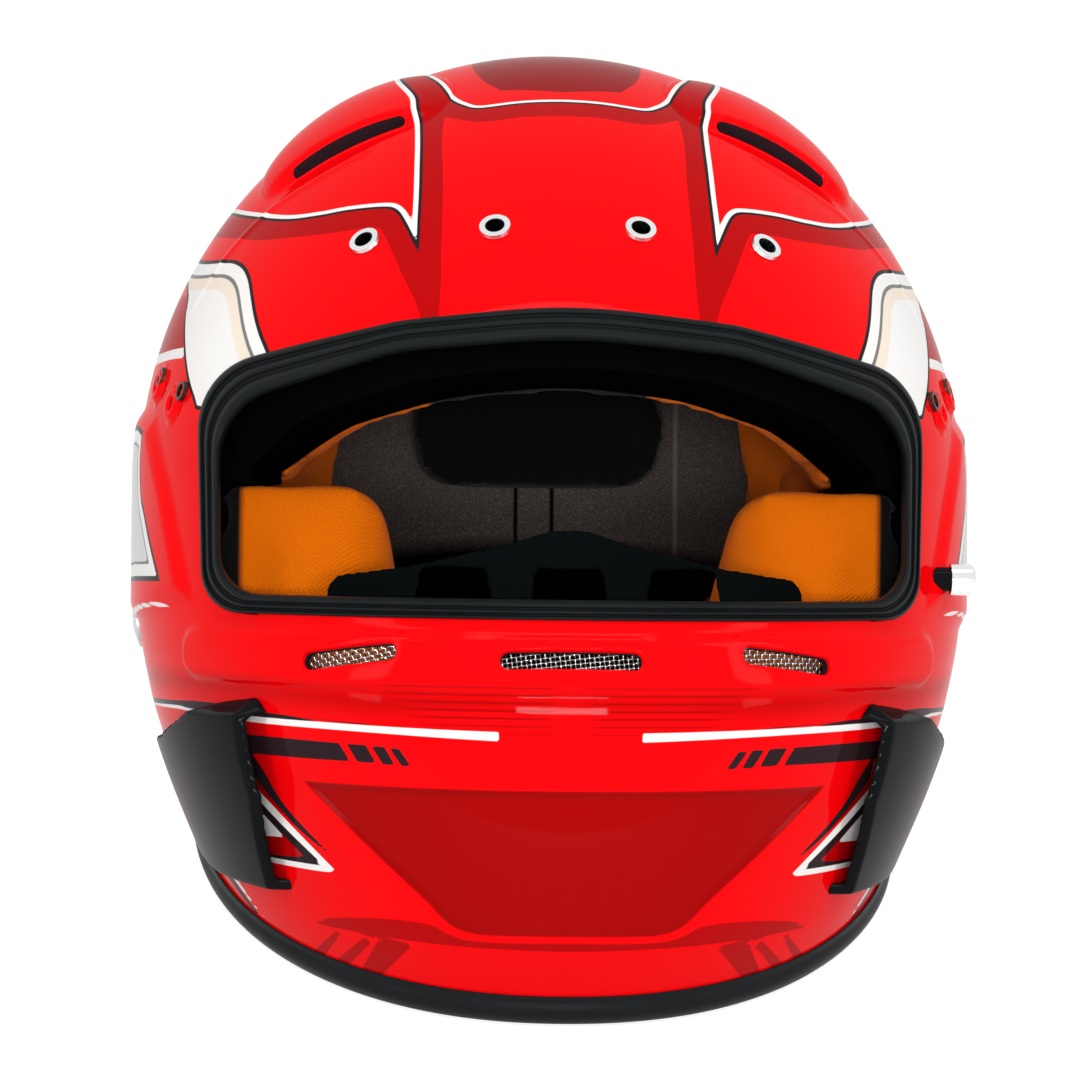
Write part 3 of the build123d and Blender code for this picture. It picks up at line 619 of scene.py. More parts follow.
def circle(radius, count):
    a = np.arange(count) * 2 * math.pi / count
    return np.stack([radius * np.cos(a), radius * np.sin(a)], axis=-1)


def rounded_strip(width, thick, bevel=0.5):
    """Section of flat webbing with soft edges."""
    a, b = width / 2, thick / 2
    return [(-a, -b + bevel), (-a, b - bevel), (-a + bevel, b), (0, b), (a - bevel, b), (a, b - bevel),
            (a, -b + bevel), (a - bevel, -b), (0, -b), (-a + bevel, -b)]


# Finishes

class Signal:
    """A number on its way through a shader; arithmetic on it adds Math nodes."""

    def __init__(self, finish, socket):
        self.finish, self.socket = finish, socket

    def maths(self, operation, *terms, clamp=False):
        settings = {"operation": operation, "use_clamp": clamp}
        return self.finish.node("ShaderNodeMath", settings, dict(enumerate(terms)))

    def __add__(self, other):
        return self.maths("ADD", self, other)

    def __sub__(self, other):
        return self.maths("SUBTRACT", self, other)

    def __mul__(self, other):
        return self.maths("MULTIPLY", self, other)

    def __truediv__(self, other):
        return self.maths("DIVIDE", self, other)

    def __rsub__(self, other):
        return self.maths("SUBTRACT", other, self)

    def inside(self, soft=0.18):
        """1 where the number is above zero, with a narrow soft edge."""
        return self.maths("MULTIPLY_ADD", self, 1.0 / soft, 0.5, clamp=True)

    def fraction(self):
        return self.maths("FRACT", self)

    def size(self):
        return self.maths("ABSOLUTE", self)

    def clamped(self):
        return self.maths("ADD", self, 0.0, clamp=True)


class Nodes:
    """A shader's node tree, which every node is added to in one way."""

    def __init__(self, tree):
        self.tree = tree

    def node(self, kind, settings, values, out=0):
        """Add a node: its settings first, then the values or links of its sockets."""
        made = self.tree.nodes.new(kind)
        for key, value in settings.items():
            setattr(made, key, value)
        for key, value in values.items():
            self.feed(made.inputs[key], value)
        return Signal(self, made.outputs[out])

    def feed(self, socket, value):
        if isinstance(value, Signal):
            self.tree.links.new(value.socket, socket)
        elif socket.type == "RGBA" and len(value) == 3:
            socket.default_value = tuple(value) + (1.0,)
        else:
            socket.default_value = value

    def seen(self):
        """1 for rays from the camera and from mirror-like surfaces."""
        camera, glossy, through = (self.node("ShaderNodeLightPath", {}, {}, out) for out in (0, 3, 6))
        return camera.maths("MINIMUM", camera + glossy + through, 1.0)


class Finish(Nodes):
    """A material with one Principled surface."""

    def __init__(self, name, **constants):
        self.material = bpy.data.materials.new(name)
        self.material.use_nodes = True
        super().__init__(self.material.node_tree)
        self.surface = self.tree.nodes["Principled BSDF"]
        for key, value in constants.items():
            self.set(key.replace("_", " ").title().replace("Ior", "IOR"), value)

    def set(self, name, value):
        self.feed(self.surface.inputs[name], value)

    def stored(self, name):
        return self.node("ShaderNodeAttribute", {"attribute_name": name}, {}, 2)

    def mix(self, share, first, second):
        return self.node("ShaderNodeMix", {"data_type": "RGBA"}, {0: share, 6: first, 7: second}, 2)

    def between(self, share, low, high, colour):
        """A colour that runs from its low share to its high one."""
        return self.mix(share, tuple(low * c for c in colour), tuple(high * c for c in colour))

    def layered(self, under, *layers):
        """Tones over one another, each where its number or stored depth is above zero."""
        for depth, tone, *soft in layers:
            depth = self.stored(depth) if isinstance(depth, str) else depth
            under = self.mix(depth.inside(*soft), under, tone)
        return under

    def place(self, scale=1.0, turn=(0, 0, 0)):
        """Object coordinates, scaled and turned."""
        at = self.node("ShaderNodeTexCoord", {}, {}, 3)
        return self.node("ShaderNodeMapping", {}, {0: at, 2: turn, 3: (scale, scale, scale)})

    def along(self, axis, scale=1.0, turn=(0, 0, 0)):
        """Object coordinate along one axis."""
        return self.node("ShaderNodeSeparateXYZ", {}, {0: self.place(scale, turn)}, axis)

    def noise(self, scale, detail):
        values = {"Vector": self.place(), "Scale": scale, "Detail": detail}
        return self.node("ShaderNodeTexNoise", {}, values)

    def cell_edges(self, scale):
        return self.node("ShaderNodeTexVoronoi", {"feature": "DISTANCE_TO_EDGE"},
                         {"Vector": self.place(), "Scale": scale})

    def wave(self, scale, turn, direction, twist=0.0):
        return self.node(
            "ShaderNodeTexWave", {"bands_direction": direction},
            {"Vector": self.place(1.0, turn), "Scale": scale, "Distortion": twist, "Detail": 1.0}, 1)

    def bump(self, height, strength, depth):
        """Bump of a depth in metres."""
        made = self.node("ShaderNodeBump", {}, {"Strength": strength, "Distance": depth, "Height": height})
        self.set("Normal", made)


def lacquer(look):
    """Red lacquer with pinstripes and panels under clear coat."""
    f = Finish("shell_lacquer", specular_ior_level=0.0, coat_weight=0.42, coat_roughness=0.02,
               coat_ior=1.17)
    red, deep, ink, white = look.bright_red, look.deep_red, look.ink, look.white
    colour = f.layered(red, ("deep", deep), ("bright", red))
    colour = f.mix((f.stored("chin_shade") * 0.105).clamped(), colour, look.panel_red)
    level = f.along(2, 1000.0, (SLOPE, 0, 0))
    lines = (((level / 2.05).fraction() - 0.5).size() - 0.24) * f.stored("streaks").inside(7.0)
    colour = f.mix((lines * 4.0).clamped(), colour, look.panel_red)
    panel = f.stored("panel")
    colour = f.layered(colour, ("shade", deep), ("side_shade", deep), (panel, look.panel_rim, 0.5),
                       (panel - 2.2, look.panel_red, 1.2))
    for name in ("swoop", "crown"):
        edge = f.stored(name)
        colour = f.layered(colour, (edge, ink), (edge - look.ink_line, white),
                           (edge - (look.ink_line + look.white_line), red))
    side, top, lower = f.stored("side"), f.stored("side_top"), f.stored("lower")
    upper_panel = f.layered(ink, (top - 1.3, white), (top - 5.2, look.grey_line), (top - 6.4, look.cream),
                            (top - 10.4, white, 0.6))
    lower_panel = f.layered(ink, (lower - 1.5, white), (lower - 5.0, look.grey_line),
                            (lower - 5.8, look.pale_grey))
    # The ink layer paints the dark lines and blocks, and also the painted shade deep inside the openings.
    colour = f.layered(colour, ("crown_shade", look.crown_red, 0.5),
                       (side, f.layered(ink, (side - 1.2, upper_panel))), (lower, lower_panel),
                       ("white", white), ("ink", ink), ("top_red", deep), ("top_white", white))
    f.set("Base Color", f.mix(f.noise(9.0, 2.0) * 0.05, colour, deep))
    f.set("Roughness", f.noise(60.0, 4.0) * 0.12 + 0.26)
    f.bump(f.noise(260.0, 2.0), 0.05, 0.0002)
    return f.material


def rubber(name, colour, rough, grain):
    """Moulded rubber: fine grain, faint bloom and worn patches."""
    f = Finish(name, specular_ior_level=0.04)
    f.set("Base Color", f.between(f.noise(38.0, 5.0), 0.78, 1.2, colour))
    f.set("Roughness", f.noise(120.0, 4.0) * 0.16 + (rough - 0.08))
    f.bump(f.noise(grain, 3.0), 0.14, 0.0004)
    return f.material


def bead_foam(look):
    """Moulded bead foam: black near the opening, its black paint deepened with painted shade, and black low
    down; charcoal with pale specks and dark seams at the rear.
    """
    f = Finish("bead_foam", specular_ior_level=0.0)
    black = look.foam_black_and_shade
    speck = f.noise(1900.0, 2.0)
    across, back, height = (f.along(axis) for axis in range(3))
    base = f.between(((speck - 0.5) * 6.0).clamped() * 0.8, 1.0, 2.4, look.foam)
    pale = tuple(2.4 * c for c in look.foam)
    for place, tone in zip(look.foam_seams, (black, black, pale)):
        base = f.layered(base, (0.0007 - (across - place).size(), tone, 0.0008))
    # Below 68 mm up the foam is black as well.
    base = f.layered(base, (0.068 - height, black, 0.006))
    # Towards the front the foam turns black: the foam's black paint round the opening, darkened further as
    # painted shade.
    f.set("Base Color", f.mix((back * 14.0 + 0.2).clamped(), black, base))
    f.set("Roughness", speck * 0.25 + 0.62)
    f.bump(f.cell_edges(420.0) * 3.0, 0.35, 0.0004)
    return f.material


def knit(name, colour, pitch, sheen, tone=None, where=None):
    """Fine diagonal knit with small loops and a soft sheen; where turns it to a tone across."""
    f = Finish(name, sheen_weight=sheen, sheen_roughness=0.45, specular_ior_level=0.08)
    loops = (f.wave(1.0 / pitch, (0.62, 0.5, 0.7), "X", 0.6)
             * f.wave(0.8 / pitch, (0.1, -0.6, -0.75), "Y", 0.6))
    drift = f.noise(24.0, 4.0)
    base = f.between((loops * 0.65 + drift * 0.5).clamped(), 0.87, 1.0, colour)
    if where:
        base = f.layered(base, (where(f.along(0)), tone, 0.002))
    f.set("Base Color", base)
    f.set("Roughness", drift * 0.15 + 0.75)
    f.bump(loops + f.noise(500.0, 2.0) * 0.3, 0.55, 0.0005)
    return f.material


def webbing_weave(colour):
    """Woven webbing: ribs across and yarns along."""
    f = Finish("webbing_weave", sheen_weight=0.3, specular_ior_level=0.3)
    weave = f.wave(420.0, (0, 0, 0), "Y") * 0.6 + f.wave(260.0, (0, 0.4, 0), "DIAGONAL") * 0.5
    f.set("Base Color", f.between(weave, 0.5, 1.5, colour))
    f.set("Roughness", weave * 0.2 + 0.6)
    f.bump(weave, 0.6, 0.0005)
    return f.material


def metal(name, colour, rough, brushed=0.0):
    """Plated or machined metal with fine turning marks and handling wear."""
    f = Finish(name, metallic=1.0)
    marks = f.wave(1400.0, (0.2, 0.1, 0.4), "Z", 2.0)
    wear = f.noise(90.0, 5.0)
    f.set("Base Color", f.between(wear, 0.82, 1.0, colour))
    f.set("Roughness", marks * brushed + wear * 0.1 + rough)
    f.bump(marks, 0.05 + brushed * 0.3, 0.0001)
    return f.material


def plastic(name, colour, rough, coat, grain, depth):
    """Moulded plastic, glossy or matt."""
    f = Finish(name, coat_weight=coat, coat_roughness=0.04, coat_ior=1.2, specular_ior_level=0.0)
    drift = f.noise(30.0, 4.0)
    f.set("Base Color", f.between(drift, 0.8, 1.15, colour))
    f.set("Roughness", drift * 0.12 + rough)
    f.bump(f.noise(grain, 2.0), 0.2, depth)
    return f.material


def dress(material, *nodes):
    """Give carried-over nodes a finish."""
    for node in nodes:
        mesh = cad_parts[node].data
        mesh.materials.clear()
        mesh.materials.append(material)


# Settings

def colour_setting(name, description, value):
    return FloatVectorProperty(name=name, description=description, default=value, subtype="COLOR",
                               min=0, max=1, size=3)


class HelmetPaint(bpy.types.PropertyGroup):
    """Colours and line widths of the shell."""

    bright_red: colour_setting("Bright red", "Main colour of the shell", (0.91, 0.001, 0.003))
    deep_red: colour_setting("Deep red", "Bands beside the pinstripes", (0.46, 0.001, 0.002))
    panel_red: colour_setting("Panel red", "Sunk chin panel", (0.37, 0.001, 0.001))
    panel_rim: colour_setting("Panel rim", "Shaded edge of the chin panel", (0.33, 0.001, 0.001))
    crown_red: colour_setting("Crown red", "Dark panel on the crown", (0.3, 0.001, 0.002))
    # Ink: the dark lines and blocks, and also the painted shade deep inside the openings.
    ink: colour_setting("Ink", "Dark line and blocks", (0.012, 0.013, 0.016))
    white: colour_setting("White", "White lines and panels", (0.93, 0.92, 0.9))
    cream: colour_setting("Cream", "Shaded border in the side panel", linear(246, 232, 216))
    grey_line: colour_setting("Grey line", "Thin line in the side panel", linear(125, 128, 126))
    pale_grey: colour_setting("Pale grey", "Inside of the lower side panel", linear(222, 222, 222))
    ink_line: FloatProperty(name="Dark line", description="Width in mm", default=1.0, min=0.2)
    white_line: FloatProperty(name="White line", description="Width in mm", default=1.5, min=0.2)
    foam: colour_setting("Foam", "Bead foam at the rear of the liner", (0.075, 0.063, 0.057))
    # Black of the foam round the opening: its black paint, deepened to near-black as painted shade.
    foam_black_and_shade: colour_setting("Foam black", "Bead foam round the opening", (0.0015, 0.0015, 0.0016))
    foam_seams: FloatVectorProperty(name="Foam seams", description="Places of the rear seams across",
                                    default=(-0.0067, 0.0058, 0.0476), size=3, unit="LENGTH")


class HelmetFabric(bpy.types.PropertyGroup):
    """Colours and fullness of the lining."""

    orange: colour_setting("Orange", "Cheek pads and liner", (1.0, 0.19, 0.0))
    black: colour_setting("Black", "Crown, nape and neck pads", (0.004, 0.004, 0.0045))
    swell: FloatProperty(name="Swell", description="Most that a cheek pad swells", default=0.006,
                         unit="LENGTH", min=0)
    steps: IntProperty(name="Steps", description="Frames of cloth simulation", default=20, min=1)


class HelmetStudio(bpy.types.PropertyGroup):
    """Camera and lamps."""

    distance: FloatProperty(name="Distance", description="Camera to crown axis", default=1.1, unit="LENGTH")
    lens: FloatProperty(name="Lens", description="Focal length, mm", default=116.6, subtype="NONE")
    turn: FloatProperty(name="Turn", description="Camera round the helmet", default=math.radians(-2.3),
                        subtype="ANGLE")
    roll: FloatProperty(name="Roll", description="Camera about its own axis", default=math.radians(0.7),
                        subtype="ANGLE")
    light: FloatProperty(name="Light", description="Strength of all lamps", default=1.0, min=0)
    ambient: FloatProperty(name="Ambient", description="Light from all round", default=0.42, min=0, max=1)


def paint_settings():
    return bpy.context.scene.helmet_paint


def fabric_settings():
    return bpy.context.scene.helmet_fabric


# Pieces

def patch(seat, half, radius, deep):
    """A dense rim round one opening: over the shell, round its edge and down inside."""
    offsets = [4.4, 3.2, 2.2, 1.4, 0.8, 0.35, 0.1, -0.1, -0.2, -0.2, -0.2]
    depths = [0.0, 0.0, 0.0, 0.0, 0.02, 0.12, 0.35, 0.8, 1.6, 3.0, deep]
    count = 96 if half else 40
    a = np.arange(count) * 2 * math.pi / count
    ahead = np.stack([np.cos(a), np.sin(a)], axis=-1)
    core = np.stack([np.where(ahead[:, 0] >= 0, half, -half), 0 * a], axis=-1)
    if half:
        bend = 0.35
        straight = np.abs(ahead[:, 0]) < bend
        core[straight, 0] = half * ahead[straight, 0] / bend
        round_end = np.arctan2(np.abs(ahead[:, 0]) - bend, np.abs(ahead[:, 1]) * 0.7)
        round_end[straight] = 0.0
        ahead = np.sign(ahead) * np.stack([np.sin(round_end), np.cos(round_end)], axis=-1)
    rows, stored = [], []
    for offset, depth in zip(offsets, depths):
        at = core + ahead * (radius + offset)
        base = settle(seat.place(at[:, 0], at[:, 1]))
        rows.append(base + normal(base) * (relief(base) - depth + 0.04)[:, None])
        stored.append(paint(base))
        # Rows more than 1.2 mm down an opening take the black ink: painted shade inside the opening.
        if depth > 1.2:
            stored[-1]["ink"] = np.full(count, 5.0)
    merged = {name: np.concatenate([row[name] for row in stored]) for name in stored[0]}
    return np.vstack(rows), grid_faces(len(rows), count)[:, ::-1], merged


EYEPORT = (105.5, 85.5, 110.5)
LIP_OUTER = [(0.0, 1.012), (0.445, 0.958), (1.0, 0.808), (0.967, 0.0)]
LIP_INNER = [(0.0, 0.9), (0.445, 0.853), (0.925, 0.68), (0.915, 0.064)]
LIP_RADII = (180.0, 60.0, 20.0, 12.0)


def lip_line(places):
    """Closed outline of the eyeport with rounded corners, as places in the front view."""
    half, tall, floor = EYEPORT
    right = [(half * u, floor + tall * v) for u, v in places]
    corners = np.array(right + [(-x, z) for x, z in right[:0:-1]])
    radii = LIP_RADII + LIP_RADII[:0:-1]
    count, steps = len(corners), np.arange(10) / 10
    starts, ends, middles = [], [], []
    for i in range(count):
        before, at, after = corners[i - 1], corners[i], corners[(i + 1) % count]
        a, b = unit(before - at), unit(after - at)
        angle = math.acos(float(np.clip(a @ b, -1, 1)))
        reach = radii[i] / math.tan(angle / 2)
        starts.append(at + a * reach)
        ends.append(at + b * reach)
        middles.append(at + unit(a + b) * (radii[i] / math.sin(angle / 2)))
    line = []
    for i in range(count):
        first, last = starts[i] - middles[i], ends[i] - middles[i]
        low = math.atan2(first[1], first[0])
        sweep = (math.atan2(last[1], last[0]) - low + math.pi) % (2 * math.pi) - math.pi
        at = low + sweep * steps
        line.append(middles[i] + radii[i] * np.stack([np.cos(at), np.sin(at)], axis=-1))
        line.append(ends[i] + (starts[(i + 1) % count] - ends[i]) * steps[:, None])
    return np.vstack(line)


class HELMET_OT_shell(bpy.types.Operator):
    """Build the painted shell over a fine net of the skin"""

    bl_idname = "helmet.shell"
    bl_label = "Painted shell"

    def execute(self, context):
        turn = spread(-180.0, 180.0, lambda at: 0.26 if abs(at) < 62 else 0.4 if abs(at) < 130 else 0.6)
        turn = turn[:-1]
        columns, foot_level, wall = len(turn), 4.4, 3.9
        foot = above_foot(turn, foot_level)[:, 2]
        share = spread(0.0, 1.0, lambda at: 0.0062 if abs(at - 0.42) < 0.18 else 0.0115)[:-1]
        climb = np.append(np.linspace(0, math.pi / 2, 143)[:-1], math.radians(89.7))
        heights = [foot + (RING - foot) * s for s in share]
        heights += [np.full(columns, RING + CROWN * math.sin(a)) for a in climb]
        base = np.vstack([skin(turn, z) for z in heights])
        gone = self.cut(base)
        faces = grid_faces(len(heights), columns)
        faces = faces[~gone[faces].any(axis=1)]
        nets = [(base + normal(base) * relief(base)[:, None], faces, paint(base))]
        nets += [patch(*opening) for opening in openings()]
        points, faces, values = joined(nets)
        paintwork = lacquer(paint_settings())
        solid_of("shell_skin", "outer_shell", points, faces, paintwork, values=values)
        band_tall, band_rows = 42.0, 8
        band = np.vstack([skin(turn, foot + up) for up in np.linspace(0.0, band_tall, band_rows)])
        raw = plastic("raw_laminate", linear(9, 9, 9), 0.6, 0.0, 400.0, 0.0002)
        solid_of("shell_inner_face", "outer_shell", band - normal(band) * wall,
                 grid_faces(band_rows, columns), raw)
        return {"FINISHED"}

    def cut(self, base):
        """Points of the net that lie in an opening or under the eyeport gasket."""
        rim, eyelet_radius, under_gasket = 1.5, 2.9, 3.2
        gone = np.zeros(len(base), bool)
        for seat, half, radius, _ in openings():
            u, v, w = seat.local(base)
            gone |= (stadium(u, v, half, radius) < rim) & (np.abs(w) < SEAT_REACH)
        for eyelet in EYELETS:
            u, v, w = eyelet.local(folded(base))
            gone |= (np.hypot(u, v) < eyelet_radius) & (np.abs(w) < SEAT_REACH)
        centre = np.array([0.0, 150.0])
        spoke = lip_line(LIP_OUTER) - centre
        edge = centre + spoke * (1 - under_gasket / np.linalg.norm(spoke, axis=1))[:, None]
        return gone | within(base[:, [0, 2]], np.vstack([edge, edge[:1]])) & (base[:, 1] < 0)


class HELMET_OT_gasket(bpy.types.Operator):
    """Build the ribbed rubber lip round the eyeport"""

    bl_idname = "helmet.gasket"
    bl_label = "Eyeport gasket"

    def execute(self, context):
        outer, inner = lip_line(LIP_OUTER), lip_line(LIP_INNER)
        ribs = [(0.0, -0.3), (0.005, 0.8), (0.03, 1.7), (0.07, 2.2), (0.15, 2.3), (0.185, 2.0), (0.20, 0.9),
                (0.30, 0.8), (0.325, 1.9), (0.36, 2.5), (0.44, 2.6), (0.49, 2.2), (0.51, 1.2), (0.60, 1.1),
                (0.63, 2.0), (0.67, 2.6), (0.76, 2.75), (0.84, 2.4), (0.92, 1.6), (0.97, 0.7), (1.0, -0.8)]
        flange = [(0.5, -4.6), (0.0, -4.6), (-1.0, -4.6)]

        def row(share, proud):
            at = outer * (1 - share) + inner * share
            return front_point(at[:, 0], at[:, 1], proud)

        rows = [row(*place) for place in ribs]
        rows += [row(1.0, 0.0) + np.array([0.0, back, 0.0]) for back in (2.2, 3.4, 6.0)]
        rows += [row(*place) for place in flange]
        material = rubber("gasket_rubber", linear(27, 30, 31), 0.42, 700.0)
        refine(solid_of("gasket_lip", "eyeport_gasket", np.vstack(rows),
                        grid_faces(len(rows), len(outer)), material))
        return {"FINISHED"}


class HELMET_OT_trim(bpy.types.Operator):
    """Build the rubber channel round the shell's lower edge"""

    bl_idname = "helmet.trim"
    bl_label = "Lower trim"

    def execute(self, context):
        turn = np.arange(360) - 180.0
        profile = [(0.2, 9.4), (0.7, 9.4), (1.0, 8.8), (1.2, 7.4), (2.3, 6.6), (3.1, 5.2), (3.3, 3.6),
                   (2.4, 1.5), (0.9, 0.25), (-0.8, 0.0), (-2.8, 0.0), (-4.4, 0.3), (-5.4, 1.6),
                   (-5.8, 3.6), (-5.8, 7.0), (-5.3, 8.6), (-4.5, 9.0), (-4.0, 8.8)]
        rows = [above_foot(turn, level, grow) for grow, level in profile]
        material = rubber("trim_rubber", linear(27, 30, 31), 0.4, 600.0)
        refine(solid_of("trim_channel", "lower_trim", np.vstack(rows),
                        grid_faces(len(rows), len(turn))[:, ::-1], material))
        return {"FINISHED"}


class HELMET_OT_foam(bpy.types.Operator):
    """Finish the foam, deflectors and other carried-over rigid parts"""

    bl_idname = "helmet.foam"
    bl_label = "Foam and rigid parts"

    def execute(self, context):
        look = paint_settings()
        dress(bead_foam(look), "eps_crown_liner", "eps_chin_liner", "cheek_core_left", "cheek_core_right")
        matt = plastic("matt_plastic", linear(9, 13, 14), 0.5, 0.0, 900.0, 0.0003)
        gloss = plastic("gloss_plastic", linear(18, 20, 22), 0.25, 0.3, 120.0, 0.00005)
        dress(matt, "cheek_snaps", "crown_vent_left", "crown_vent_right", "tail_snap")
        dress(gloss, "shield_post_stem")
        moulded("breath_deflector", "deflector_moulding", matt, 0.001, 4)
        for side in ("left", "right"):
            moulded("side_deflector_" + side, "fin_moulding_" + side, gloss, 0.0007, 8)
        dress(metal("polished_chrome", (0.86, 0.88, 0.88), 0.04), "brow_eyelets", "shield_post_head")
        dress(metal("zinc_steel", (0.56, 0.56, 0.57), 0.24, 0.12), "strap_bolt_left", "strap_bolt_right",
              "strap_plate_left", "strap_plate_right", "d_ring_lower", "d_ring_upper")
        dress(metal("turned_brass", (0.62, 0.42, 0.2), 0.26, 0.1), "restraint_insert_left",
              "restraint_insert_right")
        dress(metal("dark_brass", (0.1, 0.04, 0.03), 0.3, 0.1), "visor_inserts")
        return {"FINISHED"}


class HELMET_OT_vent_mesh(bpy.types.Operator):
    """Weave wire cloth behind the chin slots"""

    bl_idname = "helmet.vent_mesh"
    bl_label = "Chin vent mesh"

    pitch: FloatProperty(name="Pitch", description="Wire spacing, mm", default=1.35, min=0.5)
    wire: FloatProperty(name="Wire", description="Wire diameter, mm", default=0.42, min=0.1)

    def execute(self, context):
        material = metal("woven_wire", (0.78, 0.78, 0.77), 0.2)
        skew, sunk, waviness = math.radians(7), 4.3, 0.24
        for name, (seat, half) in VENTS.items():
            nets = []
            reach, tall = half + VENT_RADIUS + 1.6, VENT_RADIUS + 1.8
            span = int((reach + tall) / self.pitch)
            t = np.arange(-span, span + 1.01, 0.25) * self.pitch
            for way, i in product((0, 1), range(-span, span + 1)):
                across = np.full(len(t), i * self.pitch)
                a, b = (t, across) if way else (across, t)
                u = a * math.cos(skew) - b * math.sin(skew)
                v = a * math.sin(skew) + b * math.cos(skew)
                keep = (np.abs(u) < reach) & (np.abs(v) < tall)
                if keep.sum() < 3:
                    continue
                base = settle(seat.place(u[keep], v[keep]))
                wave = waviness * np.cos(math.pi * (t[keep] / self.pitch + i + way))
                path = base + normal(base) * (wave - sunk)[:, None]
                nets.append(tube(path, circle(self.wire / 2, 6), up=seat.w))
            points, faces, _ = joined(nets)
            solid_of("wire_cloth_" + name, "chin_vent_mesh_" + name, points, faces, material)
        return {"FINISHED"}


def cheek_form(p):
    """A cheek pad's top falls towards the rear."""
    most, level, height = 30.0, 90.0, 57.0
    fall = smooth_step(-84.0, -20.0, p[:, 1]) * np.clip((p[:, 2] - level) / height, 0, 1)
    return p - fall[:, None] * np.array([0.0, 0.0, most])


def vertices(mesh, key):
    """One vector for each vertex of a mesh: its place or its normal."""
    found = np.empty(len(mesh.vertices) * 3, np.float32)
    mesh.vertices.foreach_get(key, found)
    return found.reshape(-1, 3)


def move_vertices(mesh, places):
    mesh.vertices.foreach_set("co", places.astype(np.float32).ravel())
    mesh.update()


def bake_modifiers(piece):
    """Apply every modifier of a new piece."""
    graph = bpy.context.evaluated_depsgraph_get()
    mesh = bpy.data.meshes.new_from_object(piece.evaluated_get(graph))
    piece.modifiers.clear()
    piece.data = mesh


def remeshed(node, name, voxel, rounds):
    """A copy of a rigid node's solid with its edges rounded."""
    made = bpy.data.objects.new(name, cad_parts[node].data.copy())
    bpy.context.collection.objects.link(made)
    remesh = made.modifiers.new("Remesh", "REMESH")
    remesh.mode, remesh.voxel_size, remesh.use_smooth_shade = "VOXEL", voxel, True
    soften = made.modifiers.new("Soften", "SMOOTH")
    soften.factor, soften.iterations = 0.5, rounds
    bake_modifiers(made)
    return made


def blown(piece, swell):
    """How far cloth under pressure moves each vertex of a piece, up to a limit."""
    before = vertices(piece.data, "co")
    cloth = piece.modifiers.new("Cloth", "CLOTH")
    cloth.settings.use_pressure = True
    cloth.settings.uniform_pressure_force = 4.0
    cloth.settings.effector_weights.gravity = 0.0
    steps = fabric_settings().steps
    cloth.point_cache.frame_start, cloth.point_cache.frame_end = 1, steps
    for step in range(1, steps + 1):
        bpy.context.scene.frame_set(step)
    bake_modifiers(piece)
    bpy.context.scene.frame_set(1)
    move = vertices(piece.data, "co") - before
    size = np.linalg.norm(move, axis=1, keepdims=True)
    return move * np.minimum(1.0, swell / np.maximum(size, 1e-9))


def cushion(node, name, material, voxel, swell, weight, form=None):
    """A padded copy of a node: remeshed, formed, blown up where its weight lets it, and smoothed."""
    made = remeshed(node, name, voxel, 4)
    if form:
        move_vertices(made.data, rest(form(worn(vertices(made.data, "co")))))
    before = vertices(made.data, "co")
    move = blown(made, swell)
    move_vertices(made.data, before + move * weight(worn(before))[:, None])
    cover(made.data, material)
    refine(made)
    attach(made, "root")
    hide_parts(node)


def moulded(node, name, material, voxel, rounds):
    """A rigid node with its edges rounded as a moulding's are."""
    made = remeshed(node, name, voxel, rounds)
    cover(made.data, material)
    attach(made, "root")
    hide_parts(node)


class HELMET_OT_lining(bpy.types.Operator):
    """Blow up the cheek pads, liner, crown, nape and neck pads"""

    bl_idname = "helmet.lining"
    bl_label = "Soft lining"

    def execute(self, context):
        look = fabric_settings()
        orange = knit("orange_knit", look.orange, 0.0017, 0.05, look.black,
                      lambda across: across.size() - 0.0915)
        edged = knit("liner_knit", look.orange, 0.0017, 0.05, look.black,
                     lambda across: 0.031 - (across + 0.007).size())
        black = knit("black_knit", look.black, 0.0022, 0.1)
        for side in ("left", "right"):
            cushion("cheek_pad_" + side, "cheek_cushion_" + side, orange, 0.0035,
                    look.swell, lambda p: smooth_step(20.0, 26.0, -depth_of(p)), cheek_form)
        cushion("comfort_liner", "liner_cushion", edged, 0.0028, 0.002,
                lambda p: smooth_step(34.0, 44.0, -depth_of(p)) * 0.94 + 0.06)
        for node, name in (("crown_pad", "crown_cushion"), ("nape_pad", "nape_cushion"),
                           ("neck_roll", "neck_cushion")):
            cushion(node, name, black, 0.0035, 0.003,
                    lambda p: smooth_step(12.0, 24.0, -depth_of(p)))
        return {"FINISHED"}


def depth_of(p):
    """Distance outside the plain skin, negative inside, good near the skin."""
    g = slope_of(p)
    return field(p) / np.maximum(np.linalg.norm(g, axis=-1), 1e-6)


def webbing(path, closed=False):
    """Flat webbing along a path, its width fore and aft."""
    across = np.array([0.0, 1.0, 0.0])
    return tube(path, rounded_strip(25.0, 1.6), closed, np.cross(heading(path, closed), across))


def loop_of(centre, first, second, a, b):
    """A rounded box of a path round a centre, between two directions."""
    t = np.arange(24) * 2 * math.pi / 24
    return centre + power(np.cos(t), 0.6)[:, None] * first * a + power(np.sin(t), 0.6)[:, None] * second * b


